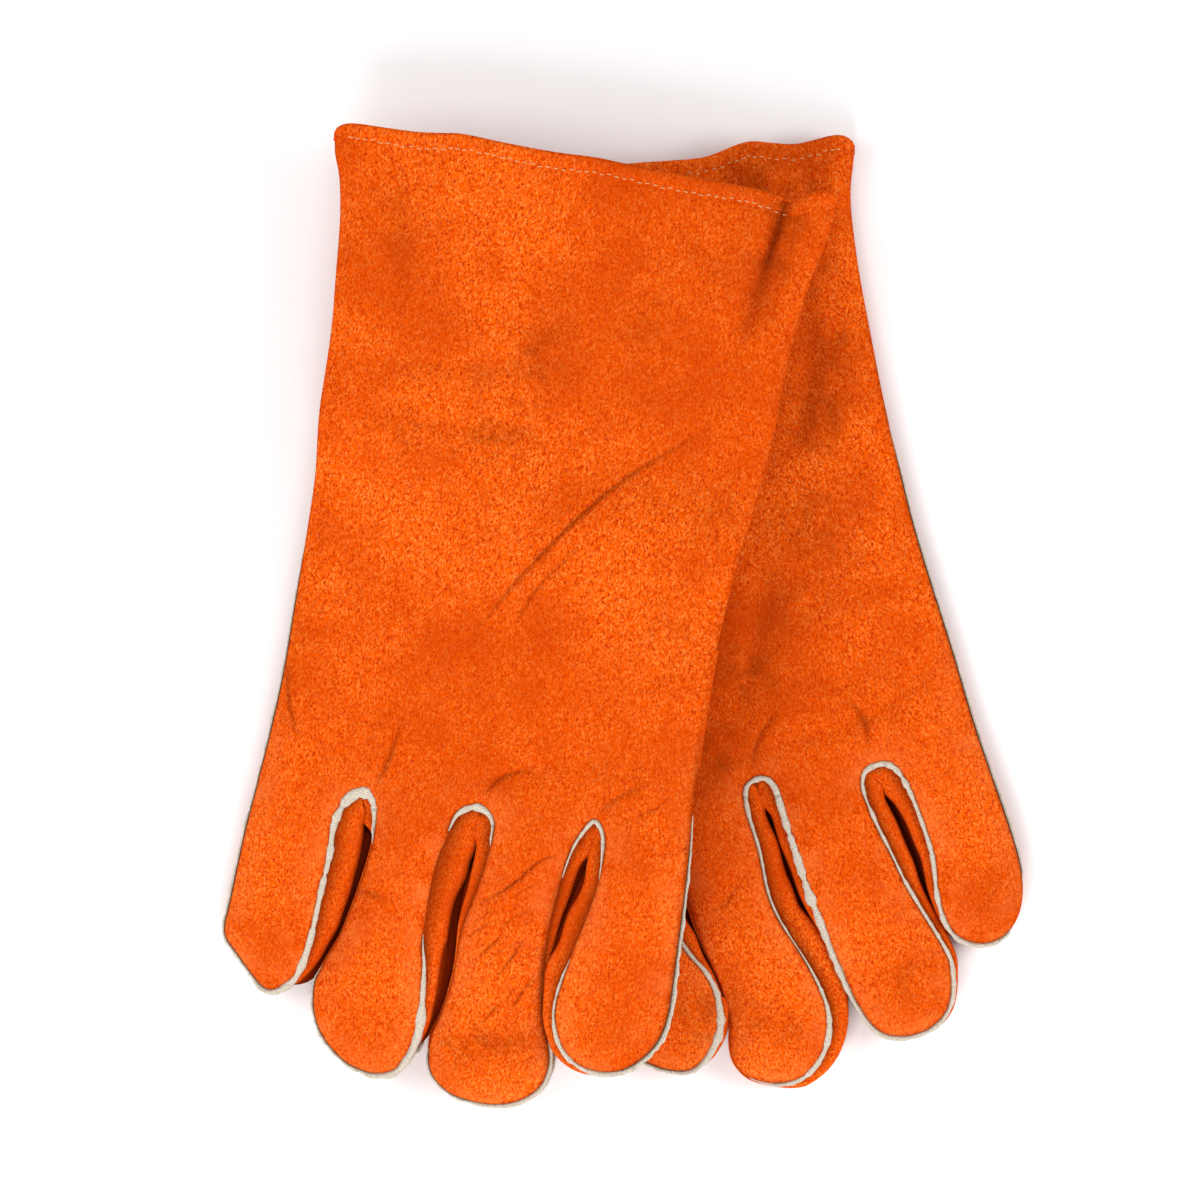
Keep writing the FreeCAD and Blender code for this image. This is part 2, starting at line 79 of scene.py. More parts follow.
# A glove's pattern lies flat in its hand's frame: u runs from the little side to the index side, v from the
# wrist to the fingertips, and both are 0 at the middle of the wrist. Its outline is the seam of the back,
# from the hem down the little side, round the two sides of each finger, and up the index side. A crease is a
# line with its depth and width, and a negative depth is a ridge. A stained patch has a place, a reach and an
# amount; some patches are real staining, and some are painted shade in folds and under the other glove's
# edge.
RIGHT = Pattern(
    hem=[(98.6, -126), (97.8, -130), (95, -131.4), (90.5, -130.4), (86, -127.4), (81, -125.9), (75, -126.6),
        (67, -127.7), (50, -128), (24, -128.3), (8, -128.9), (-8, -128.3), (-26, -128.5), (-43, -129.1),
        (-51, -128.1), (-60, -127), (-72, -126.5), (-84, -126.1), (-89.6, -124.4), (-91.5, -121)],
    sides=[
        Side("little", [(-91.5, -121), (-90.2, -115), (-87, -106), (-84.2, -91), (-82, -68), (-80.3, -48),
            (-79.6, -15), (-78.6, 15), (-78, 60), (-78, 84), (-79.3, 107), (-80.6, 123), (-82, 145),
            (-83.2, 170), (-83.8, 179), (-82.4, 184), (-77.5, 189), (-70.5, 195.8), (-65, 200)],
            high=[0, 0, 0, 0, 0, 0, 0.5, 1], wall=[0],
            welt=[0.2, 0.2, 0.2, 0.2, 0.2, 0.6, 0.8, 0.6, 1.1, 0.7, 1, 1.3, 2]),
        Side("little", [(-60.5, 200), (-54.5, 195), (-52, 190), (-50.3, 182), (-49.3, 172), (-48.6, 158),
            (-47.7, 146), (-47.7, 136), (-46.4, 129.5), (-43.5, 123.2), (-39, 119.4)],
            high=[2, 4, 5.5, 5.5, 5.5, 5], wall=[0.5, 3, 8, 11, 11, 9, 5],
            welt=[2.6, 2.8, 2.4, 2.2, 2.2, 2.6, 4.2, 5]),
        Side("ring", [(-34.8, 120.6), (-32.8, 125), (-32.2, 132), (-32.5, 139), (-33.6, 148), (-36, 161),
            (-39, 174), (-42.5, 183), (-45.7, 192), (-46, 198), (-44.8, 205), (-41.5, 212), (-36, 218),
            (-29, 222.6), (-21, 224.5)],
            high=[5, 0.5, -1, -1, -1, -0.5, 1.5], wall=[5, 0.6, 0.6, 0.6, 0.6, 1, 1],
            welt=[4.6, 0.8, 0.3, 0.3, 0.3, 0.6, 0.9, 1.2, 1.2, 0.6]),
        Side("ring", [(-15.5, 224), (-10, 221.5), (-6.4, 215.5), (-4.2, 209), (-3.2, 202), (-3.6, 194),
            (-5, 180), (-6.9, 171), (-7.4, 160), (-7.2, 147), (-6, 138), (-4, 131.5), (-2.6, 126),
            (-0.4, 120.4), (5.2, 116.7)],
            high=[2, 4, 5, 5, 5.5, 5.5, 5], wall=[0.5, 1.2, 4.5, 9, 12, 11, 5],
            welt=[2.2, 3.2, 4.2, 3.4, 1.2, 0.2, 0.2, 0.2, 0.2, 2.4, 2.8]),
        Side("middle", [(10.6, 117.8), (13.5, 121.8), (13.6, 129), (12.6, 138), (11, 146), (8.6, 156),
            (6.6, 166), (6.1, 180), (5, 189), (2.8, 199), (0.6, 206), (0.9, 215), (3.4, 221.6), (10.2, 226.8),
            (18.1, 228.4)],
            high=[5, 4.8, 3, 0, -1, -1, -0.5, 1.5], wall=[5, 6, 4, 1, 0.6, 0.6, 0.6, 1],
            welt=[2, 0.4, 0.2, 0.2, 0.2, 0.2, 0.2, 0.9, 1.2, 0.6]),
        Side("middle", [(27, 228.2), (35.5, 226), (42, 221.8), (46, 216.6), (47.6, 208.5), (46, 200.5),
            (42.6, 190.5), (40.6, 180), (39.7, 168), (39.7, 158), (40.6, 146), (42.2, 136), (43.9, 128.5),
            (46.3, 121.5), (50.9, 113.6)],
            high=[2, 3, 2, 2, 3, 4.5, 5], wall=[0.8, 0.8, 0.8, 1.5, 4.5, 5.5, 3],
            welt=[0.8, 1.3, 1.1, 0.4, 0.2, 0.2, 0.4, 1.1, 1.6]),
        Side("index", [(54, 115), (56.2, 119.5), (57, 127), (56.5, 137), (54.6, 148), (51.6, 161),
            (48.7, 175), (47.6, 185), (49, 193), (52.8, 200.4), (59, 205.2), (66.5, 206.8)],
            high=[5, 5.5, 5.5, 5.5, 5, 4, 3], wall=[2.5, 6, 7, 8, 7, 3, 1],
            welt=[1.6, 0.5, 0.3, 0.3, 0.9, 1.4, 1.4, 1.5]),
        Side("index", [(75, 205.3), (82, 200), (87.4, 192), (89.7, 182), (89.7, 169), (89.1, 149),
            (88.4, 127), (86.8, 106), (85, 82), (84.4, 60), (84.7, 38), (86.4, 12), (88.6, -15), (90.5, -42),
            (90.8, -64), (92.4, -87), (95.2, -104), (98, -119), (98.6, -126)],
            high=[1.5, 0, -1.5, -2, -2, -2, -1, -1, 0], wall=[0],
            welt=[1.6, 1.8, 1.2, 0.5, 0.1, 0.1, 0.1, 0.1, 0.1]),
    ],
    creases=[
        ([(66, -38), (52, -26), (38.5, -13.4), (22, 8), (7.3, 30), (-7.7, 55.7)], 0.8, 1.8),
        ([(30, 10), (14, 34), (8, 52)], 0.5, 1.6), ([(-78, 72), (-72.7, 90.5), (-66, 105)], 0.7, 1.6),
        ([(75, 40), (66.6, 57), (59.8, 62)], 0.8, 4),
        ([(-26, 109), (0, 108), (20.5, 104), (48.7, 87)], 0.9, 6),
        ([(-62, -44), (-33, -43), (-4, -49), (20, -52)], 1, 8), ([(-64, -22), (-10, -22), (24, -30)], 1.1, 8),
        ([(-68, -118), (-61, -95), (-52, -60)], 1, 10), ([(36, -112), (50, -104), (70, -88)], 1, 10),
        ([(11, 153), (19.5, 146.4), (27, 139), (34, 131.3), (42, 128)], 0.9, 1.1),
        ([(14, 174), (19, 167), (25, 160)], 0.7, 1.1), ([(23, 179.5), (28, 170), (32.5, 161)], 0.8, 1.1),
        ([(30, 191.4), (34, 182), (38, 174.4)], 0.7, 1.1), ([(20, 197), (24, 191), (26.6, 186)], 0.6, 1.1),
        ([(16, 186), (19, 181), (22, 177)], 0.4, 0.9), ([(27, 190), (30, 183), (33, 178)], 0.4, 0.9),
        ([(18, 176), (22, 169), (27, 164)], 0.4, 0.9), ([(30, 176), (33, 169), (36, 165)], 0.35, 0.9),
        ([(22, 160), (27, 154), (33, 150)], 0.4, 0.9), ([(12, 160), (17, 154), (21, 151)], 0.35, 0.9),
        ([(30, 157), (34, 151), (38, 148)], 0.35, 0.9), ([(24, 148), (29, 143), (36, 138)], 0.35, 0.9),
        ([(10, 166), (15, 160), (20, 156)], 0.5, 1), ([(5, 205), (24, 202.5), (42, 198)], 1.5, 4.5),
        ([(62, 112), (72, 106), (80, 98)], 0.5, 1.2), ([(-34, 118), (-30, 104), (-28, 90)], 0.7, 2),
        ([(8, 112), (14, 104), (26, 98)], 0.7, 1.6), ([(52, 112), (58, 104), (70, 96)], 0.5, 1.6),
        ([(84, -150), (80, -126), (78, -108), (75, -86), (72, -66)], 2.8, 6),
        ([(80.5, -130), (79.6, -121), (78, -110), (76.5, -100)], 0.55, 2),
        ([(94, -131), (91, -115), (88, -92), (87, -60)], -3, 7),
        ([(-88, -124), (-84, -112), (-81, -98)], -0.8, 7), ([(-40, 160), (-30, 156), (-20, 158)], 0.5, 2.2),
    ],
    # Partly real staining, and partly painted shade in the fold at the hem's corner and across the
    # fingertips.
    stains=[
        ((-1, -56), 12, 0.8), ((-11, -26), 15, 0.75), ((-46, -18), 12, 0.5), ((38, -70), 13, 0.5),
        ((-76, 66), 12, 0.4), ((72, 42), 13, 0.5), ((79, -119), 10, 1), ((77, -104), 11, 0.9),
        ((75, -86), 9, 0.6), ((-60, -96), 16, 0.3), ((58, 95), 12, 0.3), ((13, 207), 8, 0.7),
        ((23, 205), 8, 0.9), ((34, 203), 8, 0.8), ((68, 190), 10, 0.3), ((-22, 208), 10, 0.3),
    ])

LEFT = Pattern(
    hem=[(84, -138), (40, -130.5), (0, -123), (-24.6, -118), (-45, -113.4), (-53.5, -113.1), (-61, -113.9),
        (-67, -113.6), (-74, -110.9), (-82.4, -107.9), (-90, -107.2), (-97, -106.8), (-101, -105.6),
        (-103.4, -103), (-103.8, -100)],
    sides=[
        Side("little", [(-103.8, -100), (-101.8, -95), (-98.3, -86.6), (-95.6, -76), (-92.3, -56),
            (-89.8, -34), (-87, -7), (-85.3, 17), (-84, 38), (-83.7, 60), (-84, 92), (-83.8, 118),
            (-84.3, 140), (-85, 160), (-85.1, 172), (-84.2, 182), (-82, 189.5), (-78.5, 195.5), (-73.5, 200)],
            high=[0, 0, 0, 0, 0, 0, 0, 1], wall=[0],
            welt=[0.2, 0.2, 0.2, 0.3, 0.5, 0.8, 0.8, 1, 0.9, 0.3, 0.2, 0.4]),
        Side("little", [(-67.5, 202), (-61.5, 201.4), (-56.2, 198.4), (-53.2, 194.8), (-51.5, 189.7),
            (-51.1, 183.5), (-51.5, 177), (-52.9, 170), (-54, 162.5), (-54, 155.5), (-53.7, 148.5),
            (-53.2, 141.5), (-52.2, 134.5), (-50.3, 128.6), (-46.3, 125)],
            high=[2, 3, 4.5, 5, 5, 5, 5], wall=[0.8, 1.2, 2.5, 4.5, 6.5, 8, 6],
            welt=[1.2, 1.6, 1.7, 1.5, 1.5, 1.9, 3]),
        Side("ring", [(-39.4, 125.4), (-36.4, 129.5), (-35.8, 135), (-36.4, 142), (-37.4, 149.5),
            (-38.8, 157), (-40, 165), (-41.1, 171.5), (-43.8, 182.5), (-46.6, 193), (-48.6, 202.7),
            (-47.8, 209), (-46.1, 215), (-43.5, 220), (-39.6, 223.8), (-34.2, 226.3)],
            high=[5, 5, 5, 4.5, 4, 4, 3, 3], wall=[5, 7, 7, 6, 3.5, 2.4, 2, 1],
            welt=[1.8, 1.3, 1, 1.1, 1.1, 1.8, 1.4, 1.1]),
        Side("ring", [(-27.4, 227), (-21.8, 226), (-16.6, 223.4), (-12.8, 218), (-10.4, 210.5), (-9, 203.4),
            (-8.2, 196), (-7.3, 189), (-6.6, 180.6), (-5.8, 172), (-5, 164), (-4.8, 154.5), (-4.7, 145),
            (-4.5, 137), (-4.5, 129), (-4.3, 121.6), (-1.4, 117)],
            high=[3, 3, 3, 4, 5, 5.5, 5.5, 5], wall=[1.2, 1.2, 1.2, 1.5, 3.5, 4.6, 4.8, 4],
            welt=[1.2, 1.4, 2, 3, 3.3, 2.8, 2.4, 2.2]),
        Side("middle", [(4.7, 117.2), (7.3, 121), (8.4, 128.3), (8.4, 135.3), (8.4, 142.4), (9, 149),
            (9.8, 156), (9.8, 163), (8.8, 170), (7, 176.8), (4.9, 184), (3, 191.6), (1.7, 199), (1.2, 206),
            (2, 212), (4.2, 218), (8, 223.6), (13.5, 228), (20, 230.4)],
            high=[5, 5, 5, 4.5, 4.5, 4.5, 4.5, 4, 3], wall=[4, 7, 8, 9.5, 9.8, 9.8, 7.5, 5, 2.5],
            welt=[2, 1.3, 1.1, 0.8, 0.4, 1, 2.2, 2.8, 1]),
        Side("middle", [(29, 229), (36, 225.2), (39.6, 220.6), (41, 215.6), (40.4, 210), (38.8, 205),
            (37.6, 199.6), (37.6, 192), (38.1, 184), (39.1, 175), (39.7, 165), (39.9, 156), (40, 147),
            (41, 136), (43, 126), (46, 118.5), (50, 113.5)],
            high=[2, 1, 1, 1, 1, 3, 5], wall=[1, 0.6, 0.6, 0.6, 1, 4, 3],
            welt=[0.5, 0.3, 0.3, 0.3, 0.3, 1, 1.8]),
        Side("index", [(53.5, 115.5), (54.5, 121), (53.8, 132), (52, 144), (49.6, 156), (47.4, 166),
            (44.6, 174), (41.8, 180), (40.2, 187), (40.1, 193), (41, 199), (43.2, 204.4), (47, 209),
            (51.5, 212.6)],
            high=[5, 5, 5, 5, 4.5, 4, 3], wall=[3, 6, 7, 6, 4, 3, 2],
            welt=[1.8, 1.2, 1.2, 1.4, 2.6, 3.2, 1.6]),
        Side("index", [(57.5, 215), (64, 213.4), (70.5, 209.4), (76.5, 203), (81, 195), (84.4, 183),
            (86, 168), (86.4, 148), (86, 126), (85, 104), (84, 80), (83.6, 52), (83.6, 25), (83.4, -5),
            (83.2, -40), (83.2, -80), (83.6, -112), (84, -138)],
            high=[2, 0, 0, 0, 0, 0, 0, 0], wall=[0], welt=[1, 1, 1, 0.9, 0.8, 0.8, 0.8, 0.8]),
    ],
    creases=[
        ([(-56, -114), (-55, -100), (-52, -84)], 2.2, 7), ([(-68, -112), (-68, -98), (-66, -84)], -1.6, 6),
        ([(-86, -107), (-84, -94), (-82, -80)], 1.6, 6), ([(-98, -104), (-94, -88), (-90, -74)], -2, 6),
        ([(-70, -60), (-66, -30), (-56, -8), (-38, 6)], 1.6, 8), ([(-28, 38), (-15, 66), (0, 90)], 1.2, 7),
        ([(-80, 92), (-60, 104), (-36, 108), (12, 106)], 0.9, 5),
        ([(-20, 92), (-34, 100), (-46, 108)], 0.6, 3), ([(10, 206), (22, 204), (36, 206)], 1, 4),
        ([(-44, 203), (-30, 200), (-12, 205)], 0.8, 4), ([(2, 112), (-4, 102), (-14, 94)], 0.6, 2),
        ([(-42, 120), (-44, 108), (-40, 96)], 0.6, 2.2), ([(18, 150), (26, 158), (34, 160)], 0.4, 2.2),
        ([(-60, 10), (-64, 30), (-60, 60)], 0.7, 5),
    ],
    # Partly real staining, and partly painted shade beside the edge of the other glove, which lies over this
    # one, and at the fingertips.
    stains=[
        ((-61, -8), 14, 1), ((-76, -30), 12, 0.8), ((-47, 33), 18, 0.7), ((-76, -57), 11, 0.7),
        ((-82, -80), 10, 0.6), ((-68, -100), 20, 0.6), ((-28, 54), 15, 0.65), ((-7, 77), 14, 0.85),
        ((14, 104), 12, 0.95), ((4, 116), 9, 0.5), ((-60, 104), 12, 0.3), ((46, 199), 14, 0.9),
        ((28, 202), 9, 0.5), ((14, 212), 9, 0.6), ((-28, 206), 11, 0.5), ((-72, 186), 10, 0.3),
    ])

PATTERNS = {"right": RIGHT, "left": LEFT}

TIPS = 165                           # two fingers come nearest each other above this v
BLEND_START, BLEND_END = -6, 14      # a finger bends between these distances from its hinge
WRIST_START, WRIST_END = -24, 10     # the cuff turns into the hand between these v
STEP = 1.7                           # seam points
GRID = 2.2                           # leather points away from the seams
ROWS = (0.7, 1.6, 2.9)               # rows of points along each seam
HEM_ROWS = (0.9, 2.0, 3.2, 4.4, 5.5, 6.6, 8.0)
HEM_STITCH = 5.5                     # hem to its stitches
# How far the leather goes out and how far it drops, step by step, as it turns in over the hem of a cuff that
# is HEM_ROOM thick on each side of its middle.
HEM_TURN = ((0, 0), (0.7, -0.25), (1.3, -0.9), (1.4, -1.7), (1.0, -2.4), (0.2, -2.9), (-3, -3.1), (-8, -3.1))
HEM_ROOM = 3.4
STITCH_PITCH, STITCH_LONG, STITCH_THICK = 2.9, 1.9, 0.5
LEATHER, THUMB_LEATHER, THIN_LEATHER, FLEECE_THICK = 1.3, 1.1, 1.0, 0.6
LINING_GAP = 2.0                     # between the outside of the leather and the lining
LINING_INSET, LINING_END = 7, 104    # it starts this far inside the hem and ends at this v
ON_LINE = 0.12                       # points within this of a finger's root line are on it
FINE = 3                             # creases narrower than this are sharp wrinkles
# Each part's back is rounded this far in from its seams, and is this much thinner than its CAD solid.
ROUNDED = {"cuff": (9, 0.4), "hand": (15, 0.2), "ring": (14.5, 0.3)}
PALM_ROUNDED, THUMB_ROUNDED = 9, 12
WRIST, KNUCKLES = (-40, 20), (105, 140)     # v over which cuff becomes hand, and hand becomes fingers
SWELLS = ((55, 2.0, 0), (24, 0.9, 5), (9, 0.28, 9))     # dents and swellings: how wide, how high, and a seed
GAPE = 3.0                           # how much the cuff's mouth stands open in its middle

# Half a thumb's outline, round its tip to its far side, as shares of its half width and of its length.
THUMB_TIP = ((0.98, 0.5), (0.94, 0.7), (0.78, 0.87), (0.42, 0.975), (0, 1), (-0.42, 0.975), (-0.78, 0.87),
             (-0.94, 0.7), (-0.98, 0.5), (-1, 0.2))

FLOOR = CAD_BOX[0][2] / MM

JOINTS = {joint["name"]: joint for joint in frame["joints"]}


def smooth(x, low, high):
    """An even step from 0 at low to 1 at high."""
    t = np.clip((np.asarray(x, float) - low) / (high - low), 0, 1)
    return t * t * (3 - 2 * t)


def unit(v):
    return np.asarray(v, float) / np.linalg.norm(v)


def corners(node):
    """A CAD node's points, in millimetres."""
    mesh = frame["nodes"][node].data
    co = np.empty(len(mesh.vertices) * 3)
    mesh.vertices.foreach_get("co", co)
    return co.reshape(-1, 3) / MM


def plate_normal(node):
    """The upward normal of a flat CAD plate."""
    face = max(frame["nodes"][node].data.polygons, key=lambda p: p.area)
    n = np.array(face.normal)
    return n if n[2] > 0 else -n


def matrix(x, y, z, origin):
    """A frame's matrix from its axes and origin."""
    m = np.eye(4)
    m[:3, 0], m[:3, 1], m[:3, 2], m[:3, 3] = x, y, z, origin
    return m


def rest_on_floor(places):
    """Leather never reaches below the floor."""
    places[:, 2] = np.maximum(places[:, 2], FLOOR + 0.1)
    return places


def noise_at(points, size, seed):
    """Smooth noise from -1 to 1 whose lumps are about size across."""
    return np.array([noise.noise(Vector((p[0] / size, p[1] / size, p[2] / size + seed))) for p in points])


def raised(uv, z):
    """Flat points with a height, the same for all or one for each."""
    return np.column_stack([uv, np.broadcast_to(z, len(uv))])


def sides_of(line):
    """Unit vectors along a line, and out to its left, at each of its points."""
    way = np.gradient(line, axis=0)
    way /= np.linalg.norm(way, axis=1)[:, None]
    return way, np.column_stack([-way[:, 1], way[:, 0]])


class Body:
    """A CAD body's frame, and the move that takes the flat pattern into it."""

    def __init__(self, place, hand):
        self.place = place
        local = np.linalg.inv(hand) @ place
        y = unit([local[0, 1], local[1, 1], 0])
        z = np.array([0, 0, 1.0])
        self.flat = matrix(np.cross(y, z), y, z, [local[0, 3], local[1, 3], 0])
        self.move = place @ np.linalg.inv(self.flat)


def spline(points, step):
    """A smooth line through points, in even steps, with each sample's place among the points."""
    p = np.asarray(points, float)
    ends = np.vstack([2 * p[0] - p[1], p, 2 * p[-1] - p[-2]])
    fine, place = [], []
    for i in range(len(p) - 1):
        a, b, c, d = ends[i:i + 4]
        for t in np.linspace(0, 1, 16, endpoint=False):
            fine.append(0.5 * (2 * b + (c - a) * t + (2 * a - 5 * b + 4 * c - d) * t ** 2
                               + (3 * b - a - 3 * c + d) * t ** 3))
            place.append(i + t)
    fine, place = np.array(fine + [p[-1]]), np.array(place + [len(p) - 1.0])
    run = np.concatenate([[0], np.cumsum(np.linalg.norm(np.diff(fine, axis=0), axis=1))])
    at = np.linspace(0, run[-1], max(2, int(round(run[-1] / step)) + 1))
    line = np.column_stack([np.interp(at, run, fine[:, k]) for k in range(p.shape[1])])
    return line, np.interp(at, run, place)


def nearest(points, line):
    """Distance from each point to an open line, and the place on the line in samples."""
    a, b = line[:-1], line[1:]
    ab = b - a
    length2 = np.maximum((ab ** 2).sum(1), 1e-12)
    far, where = np.empty(len(points)), np.empty(len(points))
    for i in range(0, len(points), 1500):
        p = points[i:i + 1500, None, :]
        t = np.clip(((p - a) * ab).sum(2) / length2, 0, 1)
        d = np.linalg.norm(p - (a + t[..., None] * ab), axis=2)
        k = d.argmin(1)
        rows = np.arange(len(k))
        far[i:i + 1500], where[i:i + 1500] = d[rows, k], k + t[rows, k]
    return far, where


def pillow(d, reach):
    """A quarter round, from 0 at a seam to 1 at reach from it."""
    return np.sqrt(1 - (1 - np.minimum(d / reach, 1)) ** 2)


class Glove:
    """One glove's pattern, its heights, and the moves that lay it in the frame."""

    def __init__(self, name):
        self.name = name
        pattern = PATTERNS[name]
        wrist, z = JOINTS[name + "_wrist"], plate_normal(name + "_hand_back")
        x = unit(wrist["axis"])
        hand = matrix(x, np.cross(z, x), z, np.array(wrist["pos_m"]) / MM)
        self.index = 1 if (np.array(JOINTS[name + "_index_curl"]["pos_m"]) / MM - hand[:3, 3]) @ x > 0 else -1
        self.bodies = {"hand": Body(hand, hand)}
        self.bodies["cuff"] = Body(self.cuff_frame(hand), hand)
        for digit in DIGITS:
            joint = JOINTS[f"{name}_{digit}_curl"]
            z, x = plate_normal(f"{name}_{digit}_back"), -unit(joint["axis"])
            self.bodies[digit] = Body(matrix(x, np.cross(z, x), z, np.array(joint["pos_m"]) / MM), hand)
        self.half = {b: self.half_height(b) for b in self.bodies}
        self.lay_out(pattern)

    def cuff_frame(self, hand):
        """Its Y halves the angle between the cuff's two flared sides."""
        z = plate_normal(self.name + "_cuff_back")
        p = corners(self.name + "_cuff_back")
        a, b = (p - hand[:3, 3]) @ hand[:3, 0], (p - hand[:3, 3]) @ hand[:3, 1]
        ways = []
        for side in (a < 0, a > 0):
            hem, end = p[side & (b > 60)].mean(0), p[side & (b < 60)].mean(0)
            ways.append(unit(hem - end))
        y = unit(ways[0] + ways[1] - ((ways[0] + ways[1]) @ z) * z)
        levels = (corners(self.name + "_cuff_back") @ z).max(), (corners(self.name + "_cuff_palm") @ z).min()
        origin = hand[:3, 3] + (sum(levels) / 2 - hand[:3, 3] @ z) * z
        return matrix(np.cross(y, z), y, z, origin)

    def half_height(self, body):
        place = self.bodies[body].place
        return ((corners(f"{self.name}_{body}_back") - place[:3, 3]) @ place[:3, 2]).max()

    def lay_out(self, pattern):
        """Samples the seam, with each sample's finger, heights, bulge and welt."""
        points, firsts = [], []
        for side in pattern.sides:
            firsts.append(len(points))
            points += side.points
        self.seam, place = spline(points, STEP)
        self.owner, part = np.zeros(len(self.seam), int), np.zeros(len(self.seam), int)
        self.high, self.wall, self.welt = np.zeros((3, len(self.seam)))
        ends = firsts[1:] + [len(points) - 1]
        for k, (side, first, last) in enumerate(zip(pattern.sides, firsts, ends)):
            mine = (place >= first - 0.5 * (k > 0)) & (place <= last + 0.5)
            share = (place[mine] - first) / (last - first)
            self.owner[mine], part[mine] = DIGITS.index(side.digit), k
            for key in STEPPED:
                steps = getattr(side, key)
                getattr(self, key)[mine] = np.interp(share, np.linspace(0, 1, len(steps)), steps)
        # Where a fourchette joins them, the palm's seam lies below the back's. Elsewhere they are one seam.
        joined = self.wall > 0.3
        self.low = self.even(np.where(joined, np.minimum(-0.9 * self.high, self.high - 2.5), self.high))
        for key in STEPPED:
            setattr(self, key, self.even(getattr(self, key)))
        self.open = smooth(self.high, 0.2, 2.0)
        _, self.out = sides_of(self.seam)
        self.hem, _ = spline(pattern.hem, STEP)
        self.creases = [(spline(p, 2)[0], depth, width) for p, depth, width in pattern.creases]
        self.stains = pattern.stains
        self.fill_gaps(part)

    def fill_gaps(self, part):
        """Where two fingers lie side by side, their fourchettes meet between them, from the crotch at the
        bottom of the gap up to where the fingers come nearest, at touch."""
        self.deep, self.crevice_shade = np.zeros((2, len(self.seam)))
        wall, take = self.wall.copy(), smooth(self.high, 0.5, 4) + 0.02
        for a, b in ((1, 2), (3, 4), (5, 6)):
            a, b = np.where(part == a)[0], np.where(part == b)[0]
            apart = np.linalg.norm(self.seam[a][:, None] - self.seam[b][None], axis=2)
            v = self.seam[a, 1]
            nearly = np.where(v > TIPS, apart.min(1), 99).argmin()
            touch, crotch = v[nearly], v.min()
            both = np.concatenate([a, b])
            for own, other, gaps in ((a, b, apart), (b, a, apart.T)):
                near = gaps.argmin(1)
                gap, total = gaps.min(1), wall[own] + wall[other][near]
                v = self.seam[own, 1]
                # Round the crotch the walls go just past the middle of the circle that fits in there.
                way = self.seam[both][None] - self.seam[own][:, None]
                ahead, far = (way * self.out[own][:, None]).sum(2), (way ** 2).sum(2)
                radius = far / (2 * np.maximum(ahead, 1e-6))
                middle = np.where((ahead > 0) & (far > 1), radius, 99).min(1)
                web = 1 - smooth(v, crotch + 8, crotch + 16)
                wide = np.maximum(self.wall[own], np.minimum(1.1 * middle + 0.4, 9))
                self.wall[own] += (wide - self.wall[own]) * web
                # Further up, walls that are wider together than the gap are squeezed, and narrower ones share
                # the rest of it lower down.
                squeeze = 1 - np.minimum(gap / np.maximum(total, 0.1), 1)
                self.wall[own] *= 1 - smooth(v, crotch + 6, crotch + 16) * squeeze * (v < touch + 4)
                share = take[own] / (take[own] + take[other][near])
                closed = 1 - smooth(v, touch - 1, touch + 7)
                self.deep[own] = np.maximum(gap - total + 0.5, 0) * share * closed
                # Painted shade deep between the fingers, from the crotch to a little past where they come
                # nearest.
                self.crevice_shade[own] = 1 - smooth(v, touch + 2, touch + 14)

    @staticmethod
    def even(values, reach=3):
        """Each value's mean with its neighbours up to reach away."""
        kernel = np.ones(2 * reach + 1) / (2 * reach + 1)
        return np.convolve(np.pad(values, reach, mode="edge"), kernel, mode="valid")

    def digit_at(self, uv):
        """Which finger's leather each point is in: that of the nearest seam."""
        _, where = nearest(uv, self.seam)
        return self.owner[np.rint(where).astype(int)]

    def along(self, uv, digit):
        """Distance from a finger's hinge towards its tip."""
        flat = self.bodies[DIGITS[digit]].flat
        return (self.index * uv[:, 0] - flat[0, 3]) * flat[0, 1] + (-uv[:, 1] - flat[1, 3]) * flat[1, 1]

    def lay(self, uv, z, digits=None):
        """Takes flat pattern points to their places in the frame, in millimetres."""
        digits = self.digit_at(uv) if digits is None else digits
        p = np.column_stack([self.index * uv[:, 0], -uv[:, 1], z, np.ones(len(uv))])
        shares = {"cuff": 1 - smooth(uv[:, 1], WRIST_START, WRIST_END)}
        for k, digit in enumerate(DIGITS):
            shares[digit] = np.where(digits == k, smooth(self.along(uv, k), BLEND_START, BLEND_END), 0)
        shares["hand"] = 1 - sum(shares.values())
        return rest_on_floor(sum(w[:, None] * (p @ self.bodies[b].move.T)[:, :3] for b, w in shares.items()))

    def heights(self, uv):
        """Top and bottom of the glove, how near a seam each point is, and the shade painted into its creases.
        """
        d, where = nearest(uv, self.seam)
        i = np.arange(len(self.seam))
        edge_top, edge_low = np.interp(where, i, self.high), np.interp(where, i, self.low)
        hem, _ = nearest(uv, self.hem)
        v = uv[:, 1]
        cuff, fingers = 1 - smooth(v, *WRIST), smooth(v, *KNUCKLES)
        shares = {"cuff": cuff, "hand": 1 - cuff - fingers, "ring": fingers}
        tall = sum(share * (self.half[part] - ROUNDED[part][1]) for part, share in shares.items())
        q = pillow(d, sum(share * ROUNDED[part][0] for part, share in shares.items()))
        flat, seed = raised(uv, 0), 3.7 if self.index > 0 else 11.3
        inner = smooth(d, 0, 9)
        waves = sum(high * noise_at(flat, wide, seed + more) for wide, high, more in SWELLS)
        crease, fold, painted_shade = np.zeros((3, len(uv)))
        # A crease fades out towards its ends, and has a low fold on each side.
        for line, depth, width in self.creases:
            far, along = nearest(uv, line)
            fade = np.sin(np.pi * np.clip(along / (len(line) - 1), 0.04, 0.96)) ** 0.7
            sunk = depth * fade * np.exp(-(far / (0.55 * width)) ** 2)
            crease += sunk
            # Painted shade in the creases: strong in fine ones, faint in wide ones.
            painted_shade += sunk * (1.3 if width < FINE else 0.25)
            fold += depth * fade * 0.4 * np.exp(-((far - 1.7 * width) / (0.9 * width)) ** 2)
